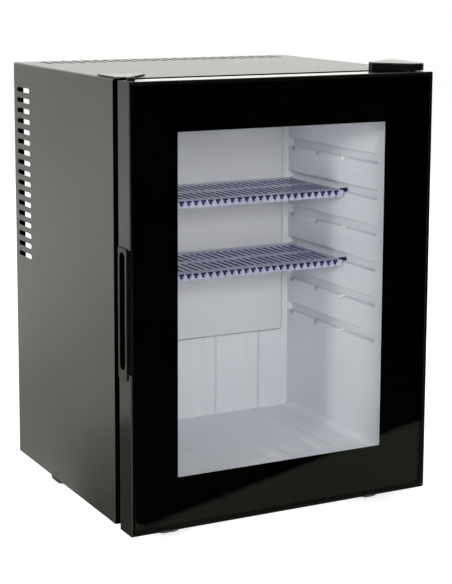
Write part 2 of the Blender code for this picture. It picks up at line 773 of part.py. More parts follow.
def add_grooves(mesh, offset, below, root, radius=GROOVE_END_RADIUS):
    """The runner grooves of both walls, offset outwards from their inner faces."""
    for side in (-1, 1):
        start = GROOVE_START - offset
        deep = LINER_HALF + GROOVE_DEPTH + offset
        rear = LINER_DEPTH + offset - (GAP if root else 0)
        corners = [(side * (LINER_HALF - root), start), (side * deep, start),
                   (side * deep, rear), (side * (LINER_HALF - root), rear)]
        outline = rounded(corners, (0, radius, 0, 0), COARSE_STEPS)
        for level in groove_levels():
            prism(mesh, outline, "z", level - below, level + GROOVE_HEIGHT + offset)


def rib_outline(across, root, base, crest):
    """Section of a rib of the liner, which stands on a base and runs down into its wall."""
    foot = RIB_WIDTH / 2
    top = RIB_CREST / 2
    return [(across - foot, root), (across - foot, base), (across - top, crest),
            (across + top, crest), (across + foot, base), (across + foot, root)]


def build_liner(finish, parent):
    """Vacuum-formed tub with a flange, runner grooves, ribs and screw bosses."""
    wall = LINER_WALL
    mesh = bmesh.new()
    prism(mesh, tub_outline(wall), "y", wall / 2, LINER_DEPTH + wall)
    liner = piece("inner_liner", mesh, finish, parent)
    half = HALF_WIDTH - FRONT_FLANGE - GAP
    mesh = bmesh.new()
    block(mesh, (-half, half), (0, wall), (SHELL_BOTTOM, SHELL_TOP - FRONT_FLANGE - GAP))
    boolean(liner, mesh, "flange", "UNION")
    mesh = bmesh.new()
    add_grooves(mesh, wall, wall + GROOVE_LEDGE, 0)
    boolean(liner, mesh, "groove_backs", "UNION")
    mesh = bmesh.new()
    prism(mesh, tub_outline(0), "y", -OVERCUT, LINER_DEPTH)
    boolean(liner, mesh, "inside")
    mesh = bmesh.new()
    add_grooves(mesh, 0, 0, OVERCUT)
    boolean(liner, mesh, "grooves")
    root = LINER_DEPTH + wall / 2
    crest = PLATE_REAR + GAP
    under = LINER_FLOOR - wall / 2
    mesh = bmesh.new()
    for across in RIB_PLACES:
        prism(mesh, rib_outline(across, root, LINER_DEPTH, crest), "z", under, LINER_FLOOR + RIB_TOP_RISE)
    for place in PLATE_SCREWS:
        disc(mesh, place, BOSS_RADIUS, "y", crest, root, ROUND_SIDES)
    boolean(liner, mesh, "back_ribs", "UNION")
    mesh = bmesh.new()
    for across in RIB_PLACES:
        outline = rib_outline(across, under, LINER_FLOOR, LINER_FLOOR + FLOOR_RIB_HEIGHT)
        prism(mesh, outline, "y", FLOOR_RIB_MARGIN, LINER_DEPTH - FLOOR_RIB_REAR_MARGIN)
    boolean(liner, mesh, "floor_ribs", "UNION")
    behind = LINER_DEPTH + wall + OVERCUT
    mesh = bmesh.new()
    block(mesh, (EVAPORATOR_LEFT - GAP, EVAPORATOR_RIGHT + GAP), (LINER_DEPTH - OVERCUT, behind),
          (EVAPORATOR_BOTTOM - GAP, EVAPORATOR_TOP + GAP))
    screw_holes(mesh, PLATE_SCREWS, "y", crest - OVERCUT, behind)
    boolean(liner, mesh, "openings")
    mesh = bmesh.new()
    low = SLIT_LEVEL - SLIT_LENGTH / 2
    high = SLIT_LEVEL + SLIT_LENGTH / 2
    for i in range(SLIT_COUNT):
        start = SLIT_DEPTH + (i - (SLIT_COUNT - 1) / 2) * SLIT_PITCH
        outline = [(start, low), (start + SLIT_WIDTH, low),
                   (start + SLIT_WIDTH - SLIT_LEAN, high), (start - SLIT_LEAN, high)]
        prism(mesh, outline, "x", LINER_HALF - OVERCUT, LINER_HALF + wall + OVERCUT)
    boolean(liner, mesh, "sensor_slits")


def build_foam(finish, parent):
    """Foam between the liner, the wrapper, the pan and the partition."""
    half = PAN_HALF - SHEET - GAP
    bottom = SHELL_BOTTOM + 2 * SHEET + 2 * GAP
    mesh = bmesh.new()
    prism(mesh, shell_outline(HALF_WIDTH - half, BEND_RADIUS - SHEET, bottom),
          "y", PAN_FRONT + SHEET + GAP, PARTITION_FRONT - GAP)
    foam = piece("foam_insulation", mesh, finish, parent)
    clear = LINER_WALL + GAP
    mesh = bmesh.new()
    prism(mesh, tub_outline(clear), "y", 0, LINER_DEPTH + clear)
    boolean(foam, mesh, "tub")
    mesh = bmesh.new()
    add_grooves(mesh, clear, clear + GROOVE_LEDGE, OVERCUT, 0)
    boolean(foam, mesh, "grooves")
    reach = EVAPORATOR_BEND + EVAPORATOR_TUBE_RADIUS + PIPE_CLEARANCE
    sensor_x, sensor_level = sensor_centre()
    radius = SENSOR_RADIUS + GAP
    length = SENSOR_LENGTH / 2 + GAP
    mesh = bmesh.new()
    block(mesh, (EVAPORATOR_LEFT - reach, EVAPORATOR_RIGHT + 2 * GAP),
          (LINER_DEPTH - OVERCUT, PARTITION_FRONT + OVERCUT),
          (EVAPORATOR_BOTTOM - GAP, EVAPORATOR_TOP + GAP))
    block(mesh, (LINER_HALF, sensor_x + radius), (SLIT_DEPTH - length, SLIT_DEPTH + length),
          (sensor_level - radius, sensor_level + radius))
    boolean(foam, mesh, "pockets")
    mesh = bmesh.new()
    screw_holes(mesh, PLATE_SCREWS, "y", LINER_DEPTH - OVERCUT, PLATE_FRONT + SCREW_LENGTH)
    screw_holes(mesh, TOP_SCREWS, "z", SHELL_TOP - SCREW_LENGTH, SHELL_TOP + OVERCUT)
    screw_holes(mesh, BOTTOM_SCREWS, "z", SHELL_BOTTOM - OVERCUT, SHELL_BOTTOM + SCREW_LENGTH)
    boolean(foam, mesh, "screw_holes")


# Cold plate, evaporator block and sensor
def build_screw(name, place, axis, seat, direction, finish, parent):
    """A pan-head screw: its head stands on a seat and its shank runs the given way."""
    crown = seat - direction * SCREW_HEAD_HEIGHT
    edge = seat - direction * SCREW_HEAD_HEIGHT / 2
    profile = [(SCREW_CROWN_RADIUS, crown), (SCREW_HEAD_RADIUS, edge), (SCREW_HEAD_RADIUS, seat),
               (SCREW_RADIUS, seat), (SCREW_RADIUS, seat + direction * SCREW_LENGTH)]
    mesh = bmesh.new()
    turned(mesh, place, axis, profile, SMALL_SIDES)
    piece(name, mesh, finish, parent, SMOOTH_ANGLE)


def build_cold_plate(white, steel, parent):
    """Cold plate that hides the evaporator, with its screws."""
    outline = rounded(rectangle(-PLATE_HALF, PLATE_HALF, PLATE_BOTTOM, PLATE_TOP), (PLATE_CORNER,) * 4)
    mesh = bmesh.new()
    prism(mesh, outline, "y", PLATE_FRONT, PLATE_REAR)
    plate = piece("evaporator_cover", mesh, white, parent)
    mesh = bmesh.new()
    screw_holes(mesh, PLATE_SCREWS, "y", PLATE_FRONT - OVERCUT, PLATE_REAR + OVERCUT)
    boolean(plate, mesh, "screw_holes")
    for i, place in enumerate(PLATE_SCREWS, 1):
        build_screw(f"cover_screw_{i}", place, "y", PLATE_FRONT - GAP, 1, steel, parent)


def build_evaporator_block(metal, parent):
    """Extruded block behind the cold plate, which cradles both runs of the evaporator tube."""
    front = PLATE_REAR + GAP
    outline = [(front, EVAPORATOR_BOTTOM), (TUBE_PLANE, EVAPORATOR_BOTTOM)]
    for level in (EVAPORATOR_MIDDLE - EVAPORATOR_BEND, EVAPORATOR_MIDDLE + EVAPORATOR_BEND):
        outline += arc((TUBE_PLANE, level), EVAPORATOR_TUBE_RADIUS + GAP, 270, 90, SMALL_SIDES)
    outline += [(TUBE_PLANE, EVAPORATOR_TOP), (front, EVAPORATOR_TOP)]
    mesh = bmesh.new()
    prism(mesh, outline, "x", EVAPORATOR_LEFT, EVAPORATOR_RIGHT)
    piece("evaporator_block", mesh, metal, parent, SMOOTH_ANGLE)


def sensor_centre():
    """Middle of the temperature sensor behind the slits: its x and its height."""
    return LINER_HALF + LINER_WALL + GAP + SENSOR_RADIUS, SLIT_LEVEL


def build_sensor(finish, parent):
    """Capsule that feels the air through the slits."""
    low = SLIT_DEPTH - SENSOR_LENGTH / 2
    high = SLIT_DEPTH + SENSOR_LENGTH / 2
    rim = SENSOR_ROUNDING
    profile = [(rim, low), (SENSOR_RADIUS, low + rim), (SENSOR_RADIUS, high - rim), (rim, high)]
    mesh = bmesh.new()
    turned(mesh, sensor_centre(), "y", profile, ROUND_SIDES)
    piece("temperature_sensor", mesh, finish, parent, SMOOTH_ANGLE)


# Feet
def build_foot(name, left, width, front, finish, parent):
    """A moulded foot that narrows a little towards the floor."""
    outlines = []
    for inset in (FOOT_TAPER, 0):
        corners = rectangle(left + inset, left + width - inset,
                            front + inset / 2, front + FOOT_LENGTH - inset)
        outlines.append(rounded(corners, (FOOT_CORNER,) * 4, COARSE_STEPS))
    mesh = bmesh.new()
    tapered(mesh, outlines[0], outlines[1], "z", 0, SHELL_BOTTOM - GAP)
    foot = piece(name, mesh, finish, parent)
    soften(foot, FOOT_TAPER, 1)


def build_feet(finish, parent):
    """Two unlike feet in front and a pair at the rear."""
    front = FOOT_FRONT_SETBACK
    rear = CABINET_DEPTH - FOOT_REAR_SETBACK - FOOT_LENGTH
    right = HALF_WIDTH - FOOT_RIGHT_MARGIN - FOOT_RIGHT_WIDTH
    rear_right = HALF_WIDTH - FOOT_REAR_MARGIN - FOOT_REAR_WIDTH
    build_foot("foot_front_left", FOOT_LEFT_MARGIN - HALF_WIDTH, FOOT_LEFT_WIDTH, front, finish, parent)
    build_foot("foot_front_right", right, FOOT_RIGHT_WIDTH, front, finish, parent)
    build_foot("foot_rear_left", FOOT_REAR_MARGIN - HALF_WIDTH, FOOT_REAR_WIDTH, rear, finish, parent)
    build_foot("foot_rear_right", rear_right, FOOT_REAR_WIDTH, rear, finish, parent)


# Door
def build_door_frame(finish, frame, parent):
    """Four mitred bars with a glass seat in front and a gasket groove behind."""
    near = DART_INSET - DART_WIDTH / 2 - GAP
    far = DART_INSET + DART_WIDTH / 2 + GAP
    groove_floor = DOOR_REAR - DART_DEPTH - 2 * GAP
    profile = [(0, DOOR_REAR), (0, DOOR_FRONT + BEAD_CHAMFER), (BEAD_CHAMFER, DOOR_FRONT),
               (BEAD_WIDTH, DOOR_FRONT), (BEAD_WIDTH, SEAT_FLOOR), (STILE_WIDTH, SEAT_FLOOR),
               (STILE_WIDTH, DOOR_REAR), (far, DOOR_REAR), (far, groove_floor),
               (near, groove_floor), (near, DOOR_REAR)]
    bars = {}
    for name, side in (("door_stile_left", "left"), ("door_stile_right", "right"),
                       ("door_rail_bottom", "bottom"), ("door_rail_top", "top")):
        mesh = bmesh.new()
        mitred_bar(mesh, profile, frame, side)
        bars[side] = piece(name, mesh, finish, parent)
    for side, across in (("left", -HINGE_X), ("right", HINGE_X)):
        for end, level, inward in (("top", DOOR_TOP, -1), ("bottom", DOOR_BOTTOM, 1)):
            low, high = sorted((level - inward * OVERCUT, level + inward * (BUSH_DEPTH + GAP)))
            for bar in (bars[side], bars[end]):
                mesh = bmesh.new()
                disc(mesh, (across, HINGE_Y), BUSH_RADIUS + GAP, "z", low, high, ROUND_SIDES)
                boolean(bar, mesh, f"bush_hole_{side}_{end}")
    return bars["left"]


def finger_slot_outline(margin):
    """Side view of the finger slot, as (depth, height): straight sides and pointed-oval ends."""
    centre = (DOOR_FRONT + GRIP_FRONT + DOOR_REAR - GRIP_REAR) / 2
    half = FINGER_SLOT_WIDTH / 2 + margin
    point = half + FINGER_SLOT_POINT
    end = FINGER_SLOT_MARGIN + FINGER_SLOT_WIDTH / 2
    upper = arc((0, 0), 1, 0, 180, 2 * COARSE_STEPS)
    outline = [(centre + half * u, GRIP_TOP - end + point * v) for u, v in upper]
    outline += [(centre - half * u, GRIP_BOTTOM + end - point * v) for u, v in upper]
    return outline


def finger_relief_outline():
    """Plan of the scallop that lets fingers past the stile's front corner."""
    side = -HALF_WIDTH
    radius = (RELIEF_LENGTH ** 2 + RELIEF_DEPTH ** 2) / (2 * RELIEF_DEPTH)
    centre = side + RELIEF_DEPTH - radius
    spread = atan2(RELIEF_LENGTH, radius - RELIEF_DEPTH)
    outline = [(side - OVERCUT, DOOR_FRONT - OVERCUT), (side + RELIEF_DEPTH, DOOR_FRONT - OVERCUT)]
    for i in range(RELIEF_STEPS + 1):
        angle = spread * i / RELIEF_STEPS
        outline.append((centre + radius * cos(angle), DOOR_FRONT + radius * sin(angle)))
    outline.append((side - OVERCUT, DOOR_FRONT + RELIEF_LENGTH))
    return outline


def build_grip(stile, finish, parent):
    """Finger grip: a bezel on the stile's side with a deep cup let into the stile."""
    side = -HALF_WIDTH
    face = side - GRIP_PROUD
    floor = side + GRIP_DEPTH
    mesh = bmesh.new()
    prism(mesh, finger_slot_outline(GRIP_WALL + GAP), "x", side - OVERCUT, floor + 2 * GAP)
    boolean(stile, mesh, "grip_pocket")
    corners = rectangle(DOOR_FRONT + GRIP_FRONT, DOOR_REAR - GRIP_REAR, GRIP_BOTTOM, GRIP_TOP)
    mesh = bmesh.new()
    prism(mesh, rounded(corners, (GRIP_WALL,) * 4, COARSE_STEPS), "x", face, side - GAP)
    grip = piece("handle_grip", mesh, finish, parent)
    mesh = bmesh.new()
    prism(mesh, finger_slot_outline(GRIP_WALL), "x", face + GRIP_PROUD / 2, floor)
    boolean(grip, mesh, "cup", "UNION")
    mesh = bmesh.new()
    prism(mesh, finger_slot_outline(0), "x", face - OVERCUT, floor - GRIP_WALL)
    boolean(grip, mesh, "finger_slot")
    mesh = bmesh.new()
    prism(mesh, finger_relief_outline(), "z", GRIP_BOTTOM + RELIEF_RISE, GRIP_TOP - RELIEF_TOP)
    boolean(stile, mesh, "finger_relief")


def build_glazing(glass, black, metal, frame, parent):
    """Front glass with its printed border, the spacer and the inner glass."""
    left, right, bottom, top = frame
    pane = rectangle(left + SEAT_INSET, right - SEAT_INSET, bottom + SEAT_INSET, top - SEAT_INSET)
    mesh = bmesh.new()
    prism(mesh, pane, "y", GLASS_FRONT, GLASS_REAR)
    piece("front_glass", mesh, glass, parent)
    mesh = bmesh.new()
    prism(mesh, pane, "y", BORDER_FRONT, BORDER_REAR)
    border = piece("glass_border", mesh, black, parent)
    window = rectangle(left + BORDER_LEFT, right - BORDER_RIGHT, bottom + BORDER_BOTTOM, top - BORDER_TOP)
    mesh = bmesh.new()
    prism(mesh, window, "y", BORDER_FRONT - OVERCUT, BORDER_REAR + OVERCUT)
    boolean(border, mesh, "window")
    mesh = bmesh.new()
    mitred_ring(mesh, rectangle(SPACER_INSET, SPACER_INSET + SPACER_WIDTH, SEAT_FLOOR, SPACER_REAR), frame)
    piece("spacer_bar", mesh, metal, parent)
    mesh = bmesh.new()
    prism(mesh, rectangle(left + SPACER_INSET, right - SPACER_INSET,
                          bottom + SPACER_INSET, top - SPACER_INSET),
          "y", INNER_GLASS_FRONT, INNER_GLASS_REAR)
    piece("inner_glass", mesh, glass, parent)


def build_inner_frame(finish, frame, parent):
    """White frame that holds the inner glass, chamfered towards the room inside."""
    front = INNER_GLASS_REAR + GAP
    inner = SPACER_INSET + INNER_FRAME_WIDTH
    chamfer = INNER_FRAME_CHAMFER
    profile = [(SPACER_INSET, front), (inner, front), (inner, DOOR_REAR - chamfer),
               (inner - chamfer, DOOR_REAR), (SPACER_INSET, DOOR_REAR)]
    mesh = bmesh.new()
    mitred_ring(mesh, profile, frame)
    piece("door_inner_frame", mesh, finish, parent)


def build_gasket(finish, frame, parent):
    """Magnetic gasket: a dart in the door's groove, a bellows and a magnet chamber."""
    root = DOOR_REAR - DART_DEPTH
    near = DOOR_REAR + GAP
    base = near + GASKET_FOOT_HEIGHT
    fold = near + GASKET_FOLD_HEIGHT
    head = -GAP - GASKET_MAGNET_HEIGHT
    half_section = [(DART_WIDTH / 2, root), (DART_WIDTH / 2, near), (GASKET_FOOT_WIDTH / 2, near),
                    (GASKET_FOOT_WIDTH / 2, base), (GASKET_NECK_WIDTH / 2, fold),
                    (GASKET_SHOULDER_WIDTH / 2, head), (GASKET_WIDTH / 2, head),
                    (GASKET_WIDTH / 2, -GAP)]
    profile = [(DART_INSET + half, depth) for half, depth in half_section]
    profile += [(DART_INSET - half, depth) for half, depth in reversed(half_section)]
    mesh = bmesh.new()
    mitred_ring(mesh, profile, frame)
    piece("door_gasket", mesh, finish, parent)


def build_bushes(finish, parent):
    """Pin bushes on the hinge side and plugs in the same holes on the other side."""
    for end, level, inward, rim in (("top", DOOR_TOP, -1, PLUG_TOP_RIM),
                                    ("bottom", DOOR_BOTTOM, 1, PLUG_BOTTOM_RIM)):
        low, high = sorted((level, level + inward * BUSH_DEPTH))
        mesh = bmesh.new()
        bored(mesh, (HINGE_X, HINGE_Y), "z", BUSH_RADIUS, PIN_RADIUS + PIN_CLEARANCE, low, high,
              ROUND_SIDES)
        piece(f"door_bush_{end}", mesh, finish, parent, SMOOTH_ANGLE)
        crown = level - inward * rim
        profile = [(BUSH_RADIUS, level + inward * BUSH_DEPTH), (BUSH_RADIUS, level - inward * GAP),
                   (PLUG_CROWN_RADIUS, crown), (PIN_RADIUS, crown),
                   (PIN_RADIUS, level + inward * PLUG_RECESS)]
        mesh = bmesh.new()
        turned(mesh, (-HINGE_X, HINGE_Y), "z", profile, ROUND_SIDES)
        piece(f"door_plug_{end}", mesh, finish, parent, SMOOTH_ANGLE)


# Hinges on the cabinet
def build_pin(name, head, direction, finish, parent):
    """A headed hinge pin: its head stands on a plate and its shank runs the given way."""
    tip = head + direction * (HINGE_PLATE + GAP + PIN_LENGTH)
    profile = [(PIN_CROWN_RADIUS, head - direction * PIN_HEAD_HEIGHT), (PIN_HEAD_RADIUS, head),
               (PIN_RADIUS, head), (PIN_RADIUS, tip - direction * PIN_TIP_RADIUS / 2),
               (PIN_TIP_RADIUS, tip)]
    mesh = bmesh.new()
    turned(mesh, (HINGE_X, HINGE_Y), "z", profile, ROUND_SIDES)
    piece(name, mesh, finish, parent, SMOOTH_ANGLE)


def hinge_cover_outline(inset):
    """Plan of the hinge cover: a triangle with a round nose over the pin."""
    right = HALF_WIDTH - COVER_SIDE_MARGIN - inset
    front = HINGE_Y - COVER_NOSE + inset
    rear = COVER_REAR - inset
    tip = HINGE_X - COVER_REACH + inset
    corners = [(tip, inset - COVER_TIP_WIDTH), (HINGE_X - COVER_NOSE_START + inset / 2, front),
               (right, front), (right, rear), (right - COVER_HEEL + 2 * inset, rear), (tip, -inset)]
    return rounded(corners, COVER_RADII, COARSE_STEPS)


def build_top_hinge(steel, parent):
    """Bracket on the cabinet's top, which carries the door's upper pin."""
    low = SHELL_TOP + GAP
    high = low + HINGE_PLATE
    mesh = bmesh.new()
    prism(mesh, hinge_cover_outline(COVER_WALL + BRACKET_CLEARANCE), "z", low, high)
    bracket = piece("hinge_bracket_top", mesh, steel, parent)
    below = low - OVERCUT
    above = high + OVERCUT
    mesh = bmesh.new()
    block(mesh, (HINGE_X - COVER_REACH - OVERCUT, HINGE_X - BRACKET_REACH),
          (HINGE_Y - COVER_NOSE, COVER_REAR), (below, above))
    boolean(bracket, mesh, "tip")
    mesh = bmesh.new()
    disc(mesh, (HINGE_X, HINGE_Y), PIN_RADIUS + GAP, "z", below, above, ROUND_SIDES)
    screw_holes(mesh, TOP_SCREWS, "z", below, above)
    boolean(bracket, mesh, "holes")
    build_pin("hinge_pin_top", high + GAP, -1, steel, parent)
    for i, place in enumerate(TOP_SCREWS, 1):
        build_screw(f"hinge_screw_top_{i}", place, "z", high + GAP, -1, steel, parent)


def build_bottom_hinge(steel, parent):
    """Joggled bracket under the pan, whose arm carries the door's lower pin."""
    seat = SHELL_BOTTOM - GAP
    arm = DOOR_BOTTOM - HINGE_BOTTOM_GAP
    plate = HINGE_PLATE
    front = HINGE_Y - HINGE_EAR
    reach = BOTTOM_BRACKET_REACH
    outline = [(front, arm), (JOGGLE_START, arm), (JOGGLE_END, seat), (reach, seat),
               (reach, seat - plate), (JOGGLE_END + JOGGLE_SHIFT, seat - plate),
               (JOGGLE_START + JOGGLE_SHIFT, arm - plate), (front, arm - plate)]
    left = BOTTOM_BRACKET_LEFT
    right = BOTTOM_BRACKET_RIGHT
    mesh = bmesh.new()
    prism(mesh, outline, "x", left, right)
    bracket = piece("hinge_bracket_bottom", mesh, steel, parent)
    below = arm - plate - OVERCUT
    above = seat + OVERCUT
    corners = [(left - OVERCUT, reach + OVERCUT), (left - OVERCUT, front), (right, front),
               (right, reach + OVERCUT)]
    corner = BOTTOM_BRACKET_CORNER
    mesh = bmesh.new()
    prism(mesh, rounded(corners, (0, corner, corner, 0)), "z", below, above)
    boolean(bracket, mesh, "plan", "INTERSECT")
    mesh = bmesh.new()
    disc(mesh, (HINGE_X, HINGE_Y), PIN_RADIUS + GAP, "z", below, above, ROUND_SIDES)
    screw_holes(mesh, BOTTOM_SCREWS, "z", below, above)
    boolean(bracket, mesh, "holes")
    build_pin("hinge_pin_bottom", arm - plate - GAP, 1, steel, parent)
    for i, place in enumerate(BOTTOM_SCREWS, 1):
        build_screw(f"hinge_screw_bottom_{i}", place, "z", seat - plate - GAP, 1, steel, parent)


def build_hinge_cover(finish, parent):
    """Hollow moulded cover over the top bracket, a little lower over the pin."""
    low = SHELL_TOP + GAP
    high = low + COVER_HEIGHT
    outline = hinge_cover_outline(0)
    nose = HINGE_Y - COVER_NOSE
    mesh = bmesh.new()
    lower = ring_of(mesh, outline, "z", low)
    upper = []
    for u, v in outline:
        fall = COVER_FALL * max(0.0, v / nose)
        upper.append(mesh.verts.new((u, v, high - fall)))
    join_rings(mesh, lower, upper)
    peak = mesh.verts.new((HINGE_X - COVER_PEAK[0], COVER_PEAK[1], high))
    for i, vertex in enumerate(upper):
        mesh.faces.new((vertex, upper[(i + 1) % len(upper)], peak))
    mesh.faces.new(lower)
    cover = piece("hinge_cover", mesh, finish, parent, SMOOTH_ANGLE)
    mesh = bmesh.new()
    prism(mesh, hinge_cover_outline(COVER_WALL), "z", low - OVERCUT, high - COVER_FALL - COVER_WALL)
    boolean(cover, mesh, "inside")


def build_blank_cap(finish, parent):
    """Flat cap over the unused hinge place on the left."""
    low = SHELL_TOP + GAP
    left = CAP_SIDE_MARGIN - HALF_WIDTH
    corners = [(left, CAP_REAR), (left, CAP_FRONT)]
    corners += [(across - HALF_WIDTH, CAP_FRONT + behind) for across, behind in CAP_CORNERS]
    mesh = bmesh.new()
    prism(mesh, rounded(corners, CAP_RADII, COARSE_STEPS), "z", low, low + CAP_THICKNESS)
    piece("hinge_blank_cap", mesh, finish, parent)


# Cooling unit in the rear bay
def build_boiler(steel, dark, metal, parent):
    """Boiler casing with its riser tube, heater cartridge and heater lead."""
    mesh = bmesh.new()
    bored(mesh, (BOILER_X, UNIT_PLANE), "z", BOILER_RADIUS, RISER_RADIUS + GAP, BOILER_BOTTOM, BOILER_TOP,
          LARGE_SIDES)
    casing = piece("boiler_casing", mesh, metal, parent, SMOOTH_ANGLE)
    heater_x = BOILER_X + HEATER_OFFSET
    heater_top = BOILER_TOP + HEATER_PROUD
    heater_bottom = heater_top - HEATER_LENGTH
    mesh = bmesh.new()
    disc(mesh, (heater_x, UNIT_PLANE), HEATER_RADIUS + GAP, "z", heater_bottom - GAP, BOILER_TOP + OVERCUT,
         ROUND_SIDES)
    boolean(casing, mesh, "heater_bore")
    mesh = bmesh.new()
    disc(mesh, (heater_x, UNIT_PLANE), HEATER_RADIUS, "z", heater_bottom, heater_top, ROUND_SIDES)
    piece("heater_element", mesh, steel, parent, SMOOTH_ANGLE)
    route = bent_route([(BOILER_X, UNIT_PLANE, RISER_BOTTOM), (BOILER_X, UNIT_PLANE, UNIT_TOP),
                        (CONDENSER_START - TUBE_STUB, UNIT_PLANE, UNIT_TOP)], RISER_BEND)
    tube("riser_tube", route, RISER_RADIUS, steel, parent)
    peak = heater_top + LEAD_RISE
    box_top = CONTROL_BOX_BOTTOM + CONTROL_BOX_HEIGHT + GAP
    route = bent_route([(heater_x, UNIT_PLANE, heater_top + GAP), (heater_x, UNIT_PLANE, peak),
                        (CONTROL_BOX_X, UNIT_PLANE, peak), (CONTROL_BOX_X, UNIT_PLANE, box_top)], LEAD_BEND)
    tube("heater_lead", route, LEAD_RADIUS, dark, parent)


def condenser_level(across):
    """Height of the condenser tube's axis, which falls gently away from the riser."""
    return UNIT_TOP - CONDENSER_FALL * (CONDENSER_START - across) / (CONDENSER_START - CONDENSER_END)


def build_condenser(steel, parent):
    """Condenser tube with as many fins pressed on as its straight run has room for."""
    start = CONDENSER_START - TUBE_STUB - GAP
    route = bent_route([(start, UNIT_PLANE, condenser_level(start)),
                        (CONDENSER_END, UNIT_PLANE, condenser_level(CONDENSER_END)),
                        (CONDENSER_END, UNIT_PLANE, CONDENSER_OUTLET)], CONDENSER_BEND)
    first = CONDENSER_END + FIN_LEFT_MARGIN
    last = CONDENSER_START - FIN_RIGHT_MARGIN
    mesh = bmesh.new()
    for i in range(int((last - first) / FIN_PITCH) + 1):
        across = first + FIN_PITCH * i
        level = condenser_level(across)
        block(mesh, (across - FIN_THICKNESS / 2, across + FIN_THICKNESS / 2),
              (UNIT_PLANE - FIN_DEPTH / 2, UNIT_PLANE + FIN_DEPTH / 2),
              (level - FIN_HEIGHT / 2, level + FIN_HEIGHT / 2))
    condenser = piece("condenser", mesh, steel, parent)
    boolean(condenser, tube_mesh(route, CONDENSER_RADIUS), "tube", "UNION")


def build_evaporator_tubes(steel, parent):
    """One tube from the condenser through the wall, along the block and back, to the exchanger."""
    high = EVAPORATOR_MIDDLE + EVAPORATOR_BEND
    low = EVAPORATOR_MIDDLE - EVAPORATOR_BEND
    turn = EVAPORATOR_LEFT - EVAPORATOR_BEND + TUBE_STUB
    lead = EXCHANGER_X
    route = bent_route([(CONDENSER_END, UNIT_PLANE, CONDENSER_OUTLET - GAP),
                        (CONDENSER_END, UNIT_PLANE, high), (lead, UNIT_PLANE, high),
                        (lead, TUBE_PLANE, high), (turn, TUBE_PLANE, high), (turn, TUBE_PLANE, low),
                        (lead, TUBE_PLANE, low), (lead, UNIT_PLANE, low),
                        (lead, UNIT_PLANE, EXCHANGER_TOP)], EVAPORATOR_BEND - GAP)
    tube("evaporator_tubes", route, EVAPORATOR_TUBE_RADIUS, steel, parent)


def build_gas_exchanger(steel, parent):
    """Gas heat exchanger: a wide tube drawn in at both ends, on top of the absorber vessel."""
    radius = EVAPORATOR_TUBE_RADIUS
    taper = EXCHANGER_TAPER
    bottom = VESSEL_LEVEL + VESSEL_RADIUS + GAP
    top = EXCHANGER_TOP - GAP
    profile = [(radius, bottom), (radius, bottom + taper), (EXCHANGER_RADIUS, bottom + 2 * taper),
               (EXCHANGER_RADIUS, top - 2 * taper), (radius, top - taper), (radius, top)]
    mesh = bmesh.new()
    turned(mesh, (EXCHANGER_X, UNIT_PLANE), "z", profile, ROUND_SIDES)
    piece("gas_heat_exchanger", mesh, steel, parent, SMOOTH_ANGLE)


def build_absorber(steel, parent):
    """Absorber vessel, the serpentine above it and the liquid tube to the boiler."""
    profile = [(VESSEL_CAP_RADIUS, VESSEL_LEFT), (VESSEL_RADIUS, VESSEL_LEFT + VESSEL_DOME),
               (VESSEL_RADIUS, VESSEL_RIGHT - VESSEL_DOME), (VESSEL_CAP_RADIUS, VESSEL_RIGHT)]
    mesh = bmesh.new()
    turned(mesh, (UNIT_PLANE, VESSEL_LEVEL), "x", profile, LARGE_SIDES)
    piece("absorber_vessel", mesh, steel, parent, SMOOTH_ANGLE)
    drop_x = VESSEL_LEFT + COIL_DROP_MARGIN
    level = COIL_BOTTOM
    corners = [(drop_x, UNIT_PLANE, VESSEL_LEVEL + VESSEL_RADIUS + GAP), (drop_x, UNIT_PLANE, level)]
    for run in range(COIL_RUNS):
        side = COIL_RIGHT if run % 2 else COIL_LEFT
        level += COIL_SLOPE if run else COIL_SLOPE / 2
        corners.append((side, UNIT_PLANE, level))
        level += COIL_PITCH - COIL_SLOPE
        corners.append((side, UNIT_PLANE, level))
    end = EXCHANGER_X - EXCHANGER_RADIUS - GAP
    corners.append((end - 2 * COIL_BEND, UNIT_PLANE, COIL_END))
    corners.append((end, UNIT_PLANE, COIL_END))
    tube("absorber_coil", bent_route(corners, COIL_BEND), COIL_RADIUS, steel, parent)
    port = VESSEL_LEVEL - LIQUID_PORT_DROP
    turn = VESSEL_LEFT - LIQUID_REACH
    low = SHELL_BOTTOM + LIQUID_RISE
    route = bent_route([(VESSEL_LEFT - GAP, UNIT_PLANE, port), (turn, UNIT_PLANE, port),
                        (turn, UNIT_PLANE, low), (BOILER_X, UNIT_PLANE, low),
                        (BOILER_X, UNIT_PLANE, RISER_BOTTOM - GAP)], LIQUID_BEND)
    tube("liquid_exchanger_tube", route, LIQUID_RADIUS, steel, parent)


def cradle(centre, radius, front):
    """Arc of a saddle's front edge round a vertical tube, from right to left."""
    reach = UNIT_PLANE - front
    if radius <= reach:
        return []
    edge = degrees(atan2(reach, sqrt(radius ** 2 - reach ** 2)))
    return arc((centre, UNIT_PLANE), radius, -edge, edge - 180, SMALL_SIDES)


